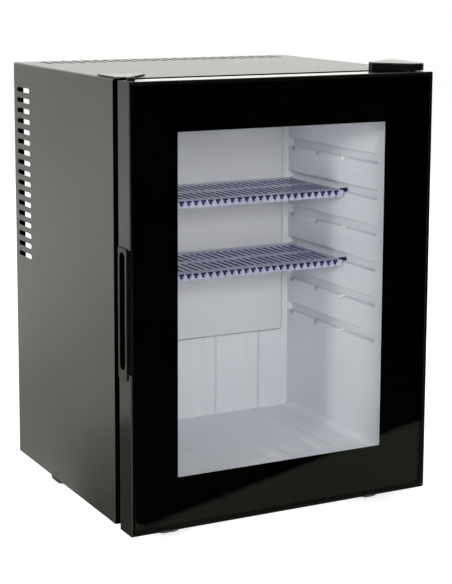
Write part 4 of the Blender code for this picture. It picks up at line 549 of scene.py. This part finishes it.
def makeLiner(form):
    liner = fromNode("linerTub", "inner_liner")

    def ribEdge(middle, along):
        x, y, z = middle
        back, floor = form["backRibs"], form["floorRibs"]
        behind = y > back["front"] and z < back["high"] and abs(x) < back["half"]
        below = z < floor["high"] and abs(x) < floor["half"]
        return behind and abs(along.z) > straight or below and abs(along.y) > straight

    def softEdge(middle, along):
        x, y, z = middle
        slits = form["slits"]
        nearSlits = (abs(x) > slits["inside"] and slits["front"] < y < slits["rear"]
                     and slits["low"] < z < slits["high"])
        inTub = form["mouth"] < y < form["back"] and abs(x) < form["wallHalf"]
        return inTub and not nearSlits and not ribEdge(middle, along)

    roundEdges(liner, form["edge"], 3, 34, softEdge)
    # little cups hang under each ledge, and the shelf's lugs drop into them
    cups = []
    dips = []
    radius = form["dipRadius"]
    under = form["ledge"] - form["dipDepth"]
    wall = form["cupWall"]
    for side in (-1, 1):
        for depth in form["dips"]:
            ends = sorted((side * (form["inside"] + 0.4), side * (form["grooveDeep"] + 0.6)))
            cups.append(roundedBar("cup", (ends[0], depth - radius - wall, under - wall),
                                   (ends[1], depth + radius + wall, form["ledge"] - 1),
                                   "x", form["cupEdge"], 3))
            near, far = side * (form["inside"] - 2), side * (form["grooveDeep"] - 0.4)
            dips.append(turned("dip", (0, depth, under + radius), "x",
                               [(0, near), (radius, near), (radius, far), (0, far)], form["dipSteps"]))
    for row, operation in ((joined(cups, "cups"), "UNION"), (joined(dips, "dips"), "DIFFERENCE")):
        repeated(row, form["grooves"], (0, 0, form["pitch"]))
        cut(liner, row, operation)
    shadeSmooth(liner, 42)
    fit(liner, linerWhite, "cabinet", "liner", "inner_liner")

    def inDip(place, normal):
        # the walls and floors of the two rear dips in each ledge, which get a painted shade
        x, y, z = place
        inGroove = form["inside"] < abs(x) < form["grooveDeep"] and abs(normal.x) < 0.5
        inDepth = (z - under) % form["pitch"] < form["dipDepth"]
        return inGroove and inDepth and any(abs(y - dip) < radius + 0.1 for dip in form["dips"][1:])

    # grey painted shade in the rear dips
    paintFaces(liner, paintedDipShade, inDip)


makeLiner(linerForm)
print("liner is formed")

# pieces whose CAD shape only needs its edges eased, as nodes: (width, segments, finish, body, slot)
easedPieces = {
    "base_plate": (0.3, 1, zincSheet, "cabinet", "zinc_sheet"),
    "rear_partition": (0.25, 1, zincSheet, "cabinet", "zinc_sheet"),
    "evaporator_cover": (0.8, 3, plateWhite, "cabinet", "cold_plate"),
    "foot_front_left foot_front_right foot_rear_left foot_rear_right":
        (0.8, 3, footBlack, "cabinet", "black_plastic"),
    "hinge_bracket_top": (0.3, 2, darkSteel, "cabinet", "dark_steel"),
    "hinge_bracket_bottom": (0.4, 2, darkSteel, "cabinet", "dark_steel"),
    "hinge_blank_cap": (0.6, 3, blackPlastic, "cabinet", "black_plastic"),
    "control_box": (0.3, 1, blackPlastic, "cabinet", "black_plastic"),
    "boiler_saddle_lower boiler_saddle_upper coil_channel":
        (0.4, 2, zincSheet, "cabinet", "zinc_sheet"),
    "door_stile_right door_rail_top door_rail_bottom": (0.5, 3, doorBlack, "door", "door_frame"),
    "door_inner_frame": (0.8, 3, linerWhite, "door", "liner"),
    "door_gasket": (0.5, 2, rubber, "door", "gasket"),
    "spacer_bar": (0.4, 2, aluminium, "door", "aluminium"),
}
for nodes, (width, segments, finish, body, slotName) in easedPieces.items():
    for node in nodes.split():
        piece = fromNode("eased_" + node, node)
        roundEdges(piece, width, segments, 32)
        shadeSmooth(piece)
        fit(piece, finish, body, slotName, node)
        if node == "evaporator_cover":
            # all but the plate's front is its rim of painted shadow, dark where the plate's shadow line
            # lies
            paintFaces(piece, plateRimPaintedShadow, lambda place, normal: normal.y > -0.97)
print("edges are eased")

# the print on the front glass blackens its edges too
frontPane = fromNode("frontPane", "front_glass")
fit(frontPane, pane, "door", "clear_glass", "front_glass")
paintFaces(frontPane, printAndPaintedShadeBlack, lambda place, normal: abs(normal.y) < 0.5)

coverForm = {"edge": 1.6, "above": 549.5}


def makeHingeCover(form):
    cover = fromNode("hingeCover", "hinge_cover")
    roundEdges(cover, form["edge"], 4, 40, lambda middle, along: middle[2] > form["above"])
    shadeSmooth(cover, 45)
    fit(cover, blackPlastic, "cabinet", "black_plastic", "hinge_cover")


makeHingeCover(coverForm)

# face, seat and floor are x, front and rear y, low and high z; relief is the hollow in the stile
gripForm = {
    "edge": 0.45, "bezelEdge": 1.6, "face": -201.6, "seat": -200.3, "front": -38, "rear": -15.2,
    "low": 204, "high": 355, "middle": -26.6, "slotHalf": 7.25, "slotLow": 215, "slotHigh": 350,
    "wall": 1.6, "floor": -182,
    "relief": {"outside": -199.9, "inside": -196, "front": -47, "rear": -38, "low": 210, "high": 356},
}


def makeGrip(form):
    stile = fromNode("doorStileLeft", "door_stile_left")
    roundEdges(stile, form["edge"], 2, 32)
    shadeSmooth(stile)
    fit(stile, doorBlack, "door", "door_frame", "door_stile_left")

    def inRelief(place, normal):
        x, y, z = place
        box = form["relief"]
        inside = (box["outside"] < x < box["inside"] and box["front"] < y < box["rear"]
                  and box["low"] < z < box["high"])
        return inside and (normal.x < -0.1 or normal.y < -straight)

    # the hollow's faces get a painted shade, black where the hollow lies in shadow
    paintFaces(stile, printAndPaintedShadeBlack, inRelief)
    bezel = roundedBar("fingerGrip", (form["face"], form["front"], form["low"]),
                       (form["seat"], form["rear"], form["high"]), "x", form["bezelEdge"])
    half, wall, middle = form["slotHalf"], form["wall"], form["middle"]
    cup = roundedBar("cup", (form["face"] + 0.8, middle - half - wall, form["slotLow"] - wall),
                     (form["floor"], middle + half + wall, form["slotHigh"] + wall),
                     "x", half + wall - 0.1, 10)
    cut(bezel, cup, "UNION")
    mouth = roundedBar("mouth", (form["face"] - 2, middle - half, form["slotLow"]),
                       (form["floor"] - wall, middle + half, form["slotHigh"]), "x", half - 0.1, 10)
    cut(bezel, mouth)
    roundEdges(bezel, form["edge"], 3, 40, lambda place, along: place[0] < -201)
    shadeSmooth(bezel)
    fit(bezel, gripBlack, "door", "black_plastic", "handle_grip")
    # the cup's inside gets a painted shade, black where it lies in the dark
    paintFaces(bezel, printAndPaintedShadeBlack, lambda place, normal: abs(place[1] - middle) < half + 0.1
               and form["seat"] - 0.6 < place[0] < form["floor"] - 1)


makeGrip(gripForm)
print("hinge cover and grip are ready")

# the lip is cut from cutFront to cutRear, and the dark inserts of painted shade run from lipStart to
# lipEnd;
# depths count from the shelf's front edge
shelfForm = {
    "edge": 0.35, "pitch": 10, "tees": 31, "bar": 7.2, "barHeight": 2.2, "stem": 2.7, "stemHeight": 3.4,
    "cutFront": -1, "cutRear": 2.4, "lipStart": 0.25, "lipEnd": 2.0, "plate": 1.8, "lip": 8.3,
    "slots": {"front": 15, "rear": 125, "half": 158}, "lug": {"inside": 159, "rear": 10},
    "ends": 158.5, "lipBack": 3,
}


def makeTees(form, front, top, start, end):
    # the row of T shapes that the lip is cut with
    first = -form["pitch"] * (form["tees"] - 1) / 2
    upper = top - form["plate"]
    lower = upper - form["barHeight"]
    half, stem = form["bar"] / 2, form["stem"] / 2
    bar = block("tees", (first - half, front + start, lower), (first + half, front + end, upper))
    cut(bar, block("stem", (first - stem, front + start, lower - form["stemHeight"]),
                   (first + stem, front + end, lower + 0.5)), "UNION")
    repeated(bar, form["tees"], (form["pitch"], 0, 0))
    return bar


def makeShelf(name, node, form):
    shelf = fromNode(name, node)
    low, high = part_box(node)
    front = inCabinet(low)[1]
    top = inCabinet(high)[2]
    cut(shelf, makeTees(form, front, top, form["cutFront"], form["cutRear"]))
    shelf.data.materials.clear()
    for finish in (shelfPlastic, shelfSlotTintAndPaintedShade, shelfCutTintAndPaintedShade):
        shelf.data.materials.append(finish)
    slots, lug = form["slots"], form["lug"]
    # the slot walls and front lugs take the darker finishes, tint with painted shade
    for polygon in shelf.data.polygons:
        x, y, z = inCabinet(polygon.center)
        amongSlots = front + slots["front"] < y < front + slots["rear"] and abs(x) < slots["half"]
        slotWall = amongSlots and abs(polygon.normal.z) < 0.3
        frontLug = x > lug["inside"] and y < front + lug["rear"]
        polygon.material_index = 1 if slotWall else 2 if frontLug else 0

    def outerEdge(middle, along):
        x, y, z = middle
        longEdge = y < front + form["lipBack"] and not top - form["lip"] + 0.5 < z < top - 0.5
        return abs(x) > form["ends"] or longEdge

    roundEdges(shelf, form["edge"], 1, 50, outerEdge)
    # a dark insert in each cut, painted shade that stands in for the shadow seen through the cut
    tees = makeTees(form, front, top, form["lipStart"], form["lipEnd"])
    tees.data.materials.clear()
    tees.data.materials.append(shelfCutTintAndPaintedShade)
    shelf = joined([shelf, tees], name)
    shadeSmooth(shelf)
    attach(shelf, node)
    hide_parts(node)


makeShelf("upperShelf", "shelf_upper", shelfForm)
makeShelf("lowerShelf", "shelf_lower", shelfForm)
print("shelves are in")

# head, crown, shank and cross are half widths
screwForm = {
    "head": 3.6, "crown": 2.4, "rise": 1.8, "shank": 2.0, "length": 16,
    "cross": 2.3, "crossWidth": 0.8, "crossDepth": 1.0,
}


def makeScrew(name, node, axis, seat, place, towards, form):
    # towards is the way the shank runs, 1 or -1, and seat the level that the head stands on
    rise = -towards * form["rise"]
    profile = [(0, seat + rise), (form["crown"] * 0.6, seat + rise), (form["crown"], seat + rise * 0.86),
               (form["head"] - 0.35, seat + rise * 0.45), (form["head"], seat + rise * 0.12),
               (form["head"], seat), (form["shank"], seat),
               (form["shank"], seat + towards * (form["length"] - 1.5)),
               (0, seat + towards * form["length"])]
    screw = turned(name, place, axis, profile, 24)
    top = seat + rise
    low, high = sorted((top - towards, top + towards * form["crossDepth"]))
    reach, width = form["cross"], form["crossWidth"] / 2
    for a, b in ((reach, width), (width, reach)):
        if axis == "y":
            tool = block("cross", (place[0] - a, low, place[2] - b),
                         (place[0] + a, high, place[2] + b))
        else:
            tool = block("cross", (place[0] - a, place[1] - b, low),
                         (place[0] + a, place[1] + b, high))
        cut(screw, tool)
    shadeSmooth(screw, 45)
    finish, slotName = (zincSheet, "zinc_sheet") if axis == "y" else (darkSteel, "dark_steel")
    fit(screw, finish, "cabinet", slotName, node)


def middleOf(node):
    # a node's middle, lowest and highest corner in cabinet millimetres
    low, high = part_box(node)
    return inCabinet((low + high) / 2), inCabinet(low), inCabinet(high)


for number in range(1, 5):
    middle, low, high = middleOf(f"cover_screw_{number}")
    makeScrew(f"coverScrew{number}", f"cover_screw_{number}", "y", low[1] + screwForm["rise"],
              (middle[0], 0, middle[2]), 1, screwForm)
for number in range(1, 3):
    for where, towards in (("top", -1), ("bottom", 1)):
        node = f"hinge_screw_{where}_{number}"
        middle, low, high = middleOf(node)
        head = (high if where == "top" else low)[2]
        makeScrew(f"{where}HingeScrew{number}", node, "z", head + towards * screwForm["rise"],
                  (middle[0], middle[1], 0), towards, screwForm)

pinForm = {"head": 4.8, "crown": 3.6, "rise": 1.5, "shank": 3.0, "tip": 2.4, "length": 18.8}


def makePin(name, node, seat, towards, form):
    middle = middleOf(node)[0]
    rise = -towards * form["rise"]
    tip = seat + towards * form["length"]
    profile = [(0, seat + rise), (form["crown"] - 0.5, seat + rise), (form["crown"], seat + rise * 0.9),
               (form["head"], seat), (form["shank"], seat), (form["shank"], tip - towards * 1.2),
               (form["tip"], tip), (0, tip)]
    pin = turned(name, (middle[0], middle[1], 0), "z", profile, 32)
    shadeSmooth(pin, 40)
    fit(pin, darkSteel, "cabinet", "dark_steel", node)


topSeat = middleOf("hinge_pin_top")[2][2] - pinForm["rise"]
bottomSeat = middleOf("hinge_pin_bottom")[1][2] + pinForm["rise"]
makePin("topHingePin", "hinge_pin_top", topSeat, -1, pinForm)
makePin("bottomHingePin", "hinge_pin_bottom", bottomSeat, 1, pinForm)

# upper and lower are the levels of the door's two ends, where the plugs' mouths lie
bushForm = {"outer": 5.2, "bore": 3.35, "chamfer": 0.4}
plugForm = {"outer": 5.2, "crown": 4.7, "hole": 3.0, "recess": 9.0, "upper": 541.5, "lower": 22.5}


def makeBush(name, node, form):
    middle, low, high = middleOf(node)
    c, outer, bore = form["chamfer"], form["outer"], form["bore"]
    profile = [(bore, low[2] + c), (bore + c, low[2]), (outer - c, low[2]), (outer, low[2] + c),
               (outer, high[2] - c), (outer - c, high[2]), (bore + c, high[2]), (bore, high[2] - c),
               (bore, low[2] + c)]
    bush = turned(name, (middle[0], middle[1], 0), "z", profile, 32)
    shadeSmooth(bush, 40)
    fit(bush, blackPlastic, "door", "black_plastic", node)


def makePlug(name, node, mouth, inward, form):
    middle, low, high = middleOf(node)
    end, rim = (low[2], high[2]) if inward < 0 else (high[2], low[2])
    profile = [(0, end), (form["outer"], end), (form["outer"], mouth),
               (form["crown"] + 0.2, rim + inward * 0.3), (form["crown"] - 0.1, rim),
               (form["hole"] + 0.3, rim), (form["hole"], rim + inward * 0.3),
               (form["hole"], mouth + inward * form["recess"]), (0, mouth + inward * form["recess"])]
    plug = turned(name, (middle[0], middle[1], 0), "z", profile, 32)
    shadeSmooth(plug, 40)
    fit(plug, blackPlastic, "door", "black_plastic", node)


makeBush("upperHingeBush", "door_bush_top", bushForm)
makeBush("lowerHingeBush", "door_bush_bottom", bushForm)
makePlug("upperHolePlug", "door_plug_top", plugForm["upper"], -1, plugForm)
makePlug("lowerHolePlug", "door_plug_bottom", plugForm["lower"], 1, plugForm)
print("screws, pins and bushes are in")

unitPlane = 290  # the plane in which the cooling unit's tubes have their middles


def bead(centre, axis, radius, size=1.0):
    # a small ring of weld where two tubes meet
    root, flank = radius - 0.5, size * 0.7
    return turned("bead", centre, axis, [(root, -size), (radius + flank, -flank), (radius + size, 0),
                                         (radius + flank, flank), (root, size), (root, -size)], 24)


boilerForm = {
    "x": 120, "radius": 25, "bore": 8.3, "band": 8, "heaterX": 136.5, "heaterBore": 5.3, "heater": 5,
}


def makeBoiler(form):
    low, high = (corner[2] for corner in middleOf("boiler_casing")[1:])
    radius, bore, band = form["radius"], form["bore"], form["band"]
    casing = turned("boilerCasing", (form["x"], unitPlane, 0), "z",
                    [(bore, low), (radius - 1.5, low), (radius, low + 1.5), (radius, low + band),
                     (radius - 0.5, low + band + 1), (radius - 0.5, high - band - 1), (radius, high - band),
                     (radius, high - 1.5), (radius - 1.5, high), (bore, high), (bore, low)], 48)
    bottom, top = (corner[2] for corner in middleOf("heater_element")[1:])
    tool = turned("bore", (form["heaterX"], unitPlane, 0), "z",
                  [(0, bottom - 0.3), (form["heaterBore"], bottom - 0.3), (form["heaterBore"], high + 2),
                   (0, high + 2)], 28)
    cut(casing, tool)
    shadeSmooth(casing)
    fit(casing, zincSheet, "cabinet", "zinc_sheet", "boiler_casing")
    rod = form["heater"]
    heater = turned("heaterCartridge", (form["heaterX"], unitPlane, 0), "z",
                    [(0, bottom), (rod - 0.4, bottom), (rod, bottom + 0.4), (rod, top - 3),
                     (rod - 0.6, top - 2.4), (rod - 0.6, top - 0.4), (rod - 1, top), (0, top)], 28)
    shadeSmooth(heater)
    fit(heater, darkSteel, "cabinet", "dark_steel", "heater_element")


makeBoiler(boilerForm)

# corners of each tube in the unit's plane, as (x, z) or (x, y, z)
tubeRoutes = {
    "riser_tube": {"radius": 8, "bend": 20, "beads": (), "corners": ((120, 66), (120, 472), (99, 472))},
    "absorber_coil": {
        "radius": 8, "bend": 13.9, "beads": (((-40, unitPlane, 109), "z"), ((55.5, unitPlane, 353), "x")),
        "corners": ((-40, 107.3), (-40, 136), (-168, 143), (-168, 171), (34, 185), (34, 213),
                    (-168, 227), (-168, 255), (34, 269), (34, 297), (-168, 311), (-168, 339),
                    (29.2, 353), (57.2, 353))},
    "liquid_exchanger_tube": {
        "radius": 5, "bend": 14, "beads": (((-62, unitPlane, 76.3), "x"),),
        "corners": ((-60.3, 76.3), (-100, 76.3), (-100, 46), (120, 46), (120, 65.7))},
    "evaporator_tubes": {
        "radius": 6, "bend": 12.7, "beads": (),
        "corners": ((-140, 441.7), (-140, 428), (70, 428), (70, 247.6, 428), (-100, 247.6, 428),
                    (-100, 247.6, 402), (70, 247.6, 402), (70, 402), (70, 388))},
}


def inPlane(corners):
    return [corner if len(corner) == 3 else (corner[0], unitPlane, corner[1]) for corner in corners]


for node, route in tubeRoutes.items():
    tube = pipe("tube_" + node, inPlane(route["corners"]), route["radius"], route["bend"])
    rings = [bead(centre, axis, route["radius"]) for centre, axis in route["beads"]]
    tube = joined([tube] + rings, "tube_" + node)
    shadeSmooth(tube, 50)
    fit(tube, darkSteel, "cabinet", "dark_steel", node)

leadRoute = {
    "radius": 2, "bend": 7, "corners": ((136.5, 280.3), (136.5, 294), (173, 294), (173, 129.3)),
}
lead = pipe("heaterLead", inPlane(leadRoute["corners"]), leadRoute["radius"], leadRoute["bend"])
shadeSmooth(lead, 50)
fit(lead, rubber, "cabinet", "black_plastic", "heater_lead")

# the tube falls by fall from datum to its end, so that what condenses runs off
condenserForm = {
    "start": 98.7, "end": -140, "datum": 100, "top": 472, "fall": 6, "radius": 7, "bend": 16,
    "outlet": 442, "firstFin": -112, "pitch": 10.8, "fins": 19, "height": 48, "depth": 42,
    "sheet": 0.8, "corner": 5, "collar": 1.3,
}


def makeCondenser(form):
    run = form["datum"] - form["end"]

    def level(x):
        return form["top"] - form["fall"] * (form["datum"] - x) / run

    corners = [(form["start"], unitPlane, level(form["start"])),
               (form["end"], unitPlane, level(form["end"])), (form["end"], unitPlane, form["outlet"])]
    tube = pipe("condenserTube", corners, form["radius"], form["bend"])
    x, z = form["firstFin"], level(form["firstFin"])
    thick, deep, tall = form["sheet"] / 2, form["depth"] / 2, form["height"] / 2
    fin = roundedBar("fin", (x - thick, unitPlane - deep, z - tall),
                     (x + thick, unitPlane + deep, z + tall), "x", form["corner"], 4)
    bore = form["radius"] - 0.6
    collar = turned("collar", (0, unitPlane, z), "x",
                    [(bore, x), (form["radius"] + form["collar"], x), (form["radius"] + 0.5, x + 3),
                     (bore, x + 3), (bore, x)], 20)
    fins = joined([fin, collar], "fins")
    rise = form["fall"] * form["pitch"] / run
    repeated(fins, form["fins"], (form["pitch"], 0, rise))
    condenser = joined([tube, fins], "finnedCondenser")
    shadeSmooth(condenser, 45)
    fit(condenser, darkSteel, "cabinet", "dark_steel", "condenser")


makeCondenser(condenserForm)

vesselForm = {"low": -60, "high": 88, "radius": 23, "cap": 16, "dome": 8, "level": 84}
exchangerForm = {"x": 70, "low": 107.3, "high": 387.7, "radius": 12.5, "neck": 6, "taper": 12}


def makeVessels(vessel, exchanger):
    # each vessel is the same at both ends, so its profile runs in from one end and out at the other
    low, high, radius, cap, dome = (vessel[key] for key in ("low", "high", "radius", "cap", "dome"))
    drum = turned("absorberDrum", (0, unitPlane, vessel["level"]), "x",
                  [(0, low), (cap - 2, low), (cap + 3, low + dome * 0.28),
                   (radius - 1.2, low + dome * 0.72), (radius, low + dome + 2), (radius, low + dome + 8),
                   (radius - 0.6, low + dome + 9), (radius - 0.6, high - dome - 9),
                   (radius, high - dome - 8), (radius, high - dome - 2),
                   (radius - 1.2, high - dome * 0.72), (cap + 3, high - dome * 0.28), (cap - 2, high),
                   (0, high)], 48)
    shadeSmooth(drum)
    fit(drum, darkSteel, "cabinet", "dark_steel", "absorber_vessel")
    low, high, radius, neck, taper = (exchanger[key]
                                      for key in ("low", "high", "radius", "neck", "taper"))
    column = turned("gasExchanger", (exchanger["x"], unitPlane, 0), "z",
                    [(0, low), (neck, low), (neck, low + taper), (neck + 1.5, low + taper * 1.2),
                     (radius - 1.2, low + taper * 1.8), (radius, low + taper * 2.1),
                     (radius, high - taper * 2.1), (radius - 1.2, high - taper * 1.8),
                     (neck + 1.5, high - taper * 1.2), (neck, high - taper), (neck, high), (0, high)], 36)
    shadeSmooth(column)
    fit(column, darkSteel, "cabinet", "dark_steel", "gas_heat_exchanger")


makeVessels(vesselForm, exchangerForm)

glandForm = {
    "x": 173, "z": 65, "flange": 8, "neck": 6, "mouth": 4.8,
    "ribs": 3, "firstRib": 4.2, "ribPitch": 1.7, "ribTaper": 0.35,
}


def makeGland(form):
    start, end = (corner[1] for corner in middleOf("power_gland")[1:])
    profile = [(0, start), (form["flange"], start), (form["flange"], start + 2.0),
               (form["flange"] - 0.6, start + 2.6), (form["neck"], start + 2.8)]
    for rib in range(form["ribs"]):
        level = start + form["firstRib"] + rib * form["ribPitch"]
        width = form["neck"] - rib * form["ribTaper"]
        profile += [(width - 0.7, level - 0.6), (width - 0.7, level), (width - 0.15, level + 0.3),
                    (width - 0.15, level + 0.8)]
    profile += [(form["mouth"], end - 0.4), (form["mouth"] - 0.5, end), (0, end)]
    gland = turned("supplyGland", (form["x"], 0, form["z"]), "y", profile, 32)
    shadeSmooth(gland, 40)
    fit(gland, blackPlastic, "cabinet", "black_plastic", "power_gland")


makeGland(glandForm)
print("cooling unit is in")

# these keep the CAD's shape and only get a finish
plainNodes = {
    "foam_insulation": foam, "evaporator_block": aluminium, "temperature_sensor": blackPlastic,
    "inner_glass": pane, "glass_border": printAndPaintedShadeBlack,
}
for node, finish in plainNodes.items():
    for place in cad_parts[node].material_slots:
        place.material = finish

# the world as the camera sees it, as it lights the pieces, and as they mirror it
studio = {
    "floorSize": 14, "floorDark": (0.93, 0.93, 0.93), "floorLight": (0.95, 0.95, 0.95), "floorGlow": 0.67,
    "worldSeen": 1.0, "worldLight": 0.33, "worldMirrored": 0.64,
    "soft": (0.98, 0.99, 1.0), "mirrored": (1.0, 0.96, 0.86),
}


def makeFloor(look):
    deselect()
    bpy.ops.mesh.primitive_plane_add(size=look["floorSize"], location=(0, 0, 0))
    floor = bpy.context.object
    floor.name = "studioFloor"
    finish, tree, shader = startFinish("paleFloor")
    drift = pattern(tree, "ShaderNodeTexNoise", 3)
    tint(tree, drift.outputs["Fac"], look["floorDark"], look["floorLight"], shader.inputs["Base Color"])
    setSockets(shader, Roughness=0.9, Specular_IOR_Level=0.1, Emission_Color=(1, 1, 1, 1),
               Emission_Strength=look["floorGlow"])
    floor.data.materials.append(finish)


def makeWorld(look):
    world = bpy.data.worlds.new("studioWorld")
    bpy.context.scene.world = world
    world.use_nodes = True
    tree = world.node_tree
    light = tree.nodes["Background"]
    setSockets(light, Color=(*look["soft"], 1), Strength=look["worldLight"])
    seen = addNode(tree, "ShaderNodeBackground", Color=(1, 1, 1, 1), Strength=look["worldSeen"])
    mirrored = addNode(tree, "ShaderNodeBackground", Color=(*look["mirrored"], 1),
                       Strength=look["worldMirrored"])
    ray = addNode(tree, "ShaderNodeLightPath")
    glossy = addNode(tree, "ShaderNodeMixShader")
    tree.links.new(ray.outputs["Is Glossy Ray"], glossy.inputs["Fac"])
    tree.links.new(light.outputs["Background"], glossy.inputs[1])
    tree.links.new(mirrored.outputs["Background"], glossy.inputs[2])
    both = addNode(tree, "ShaderNodeMixShader")
    tree.links.new(ray.outputs["Is Camera Ray"], both.inputs["Fac"])
    tree.links.new(glossy.outputs["Shader"], both.inputs[1])
    tree.links.new(seen.outputs["Background"], both.inputs[2])
    tree.links.new(both.outputs["Shader"], tree.nodes["World Output"].inputs["Surface"])


def softbox(name, place, aim, width, height, power, mirrored):
    deselect()
    bpy.ops.object.light_add(type="AREA", location=place)
    lamp = bpy.context.object
    lamp.name = name
    lamp.data.shape = "RECTANGLE"
    lamp.data.size = width
    lamp.data.size_y = height
    lamp.data.energy = power
    lamp.visible_camera = False
    lamp.visible_glossy = mirrored
    lamp.rotation_euler = (Vector(aim) - Vector(place)).to_track_quat("-Z", "Y").to_euler()


def flag(name, corners, shade):
    # a matt board that only the reflections see
    mesh = bpy.data.meshes.new(name)
    mesh.from_pydata([at(*corner) for corner in corners], [], [range(len(corners))])
    board = bpy.data.objects.new(name, mesh)
    bpy.context.scene.collection.objects.link(board)
    finish, tree, shader = startFinish(name + "Matt")
    drift = pattern(tree, "ShaderNodeTexNoise", 5)
    tint(tree, drift.outputs["Fac"], shade, [tone * 1.1 for tone in shade], shader.inputs["Base Color"])
    setSockets(shader, Roughness=1.0, Specular_IOR_Level=0.0)
    board.data.materials.append(finish)
    board.visible_camera = False
    board.visible_diffuse = False
    board.visible_shadow = False
    board.visible_transmission = False


# name: (place, aim, width, height, power, whether reflections show it), in metres and watts
softboxes = {
    "backSoftbox": ((0.6, 2.6, 1.1), (0, 0, 0.45), 3.2, 1.6, 20, True),
    "upperSoftbox": ((-0.6, -0.6, 2.2), (0, 0, 0.3), 1.6, 1.6, 12, True),
    "windowSoftbox": ((-1.86, -1.12, 0.80), (0.1, -0.05, 0.3), 0.15, 0.15, 18, False),
    "frontSoftbox": ((-0.75, -2.2, 0.93), (0.0, 0.05, 0.28), 0.7, 0.5, 31, False),
}
# name: (shade, corners), boards that shape what the door and the cabinet's side mirror
deepBlack = (0.002, 0.002, 0.002)
boards = {
    "standingBoard": (deepBlack, (
        (-9000, -2700, 0), (5000, -2700, 0), (5000, -2700, 3000), (-9000, -2700, 3000))),
    "sideStandingBoard": (deepBlack, (
        (5000, -2700, 0), (5000, 400, 0), (5000, 400, 3000), (5000, -2700, 3000))),
    "farBoard": (deepBlack, (
        (-145, -122, 1.5), (403, -345, 1.5), (1500, -799, 1.5), (5000, -1600, 1.5),
        (5000, -2700, 1.5), (-3000, -2700, 1.5), (-300, -900, 1.5))),
    "nearBoard": ((0.24, 0.265, 0.20), (
        (-260, -60, 1.2), (260, -50, 1.2), (5000, -50, 1.2), (5000, -1660, 1.2),
        (1500, -859, 1.2), (403, -405, 1.2), (-145, -182, 1.2), (-200, -140, 1.2))),
    "sideBoard": ((0.22, 0.215, 0.185), (
        (-204, -60, 1.2), (-204, 120, 1.2), (-330, 420, 1.2), (-620, 560, 1.2), (-420, 60, 1.2))),
    "rearSideBoard": ((0.95, 0.93, 0.83), (
        (-204, 120, 1.0), (-204, 700, 1.0), (-1100, 1900, 1.0), (-1500, 1300, 1.0),
        (-620, 560, 1.0), (-330, 420, 1.0))),
}
makeFloor(studio)
makeWorld(studio)
for name, values in softboxes.items():
    softbox(name, *values)
for name, (shade, corners) in boards.items():
    flag(name, corners, shade)

# place in cabinet millimetres, angles in radians, focal length in the photograph's pixels, and
# shift as the share of the picture's height by which the photograph's lens was lowered
cameraView = {
    "place": (-908.9, -1631.8, 673.8), "yaw": 0.4813, "pitch": 0.1522, "roll": 0.004,
    "focal": 1593.4, "pictureHeight": 584, "sensor": 36, "shift": -0.151, "farthest": 30,
}


def makeCamera(view):
    deselect()
    bpy.ops.object.camera_add(location=at(*view["place"]))
    camera = bpy.context.object
    camera.name = "photoCamera"
    turn = (Matrix.Rotation(-view["yaw"], 4, "Z") @ Matrix.Rotation(pi / 2 - view["pitch"], 4, "X")
            @ Matrix.Rotation(view["roll"], 4, "Z"))
    camera.rotation_euler = turn.to_euler()
    camera.data.sensor_width = view["sensor"]
    camera.data.lens = view["focal"] * view["sensor"] / view["pictureHeight"]
    camera.data.shift_y = view["shift"]
    camera.data.clip_end = view["farthest"]
    bpy.context.scene.camera = camera


makeCamera(cameraView)
bpy.context.scene.view_settings.view_transform = "Standard"
print("studio is set")
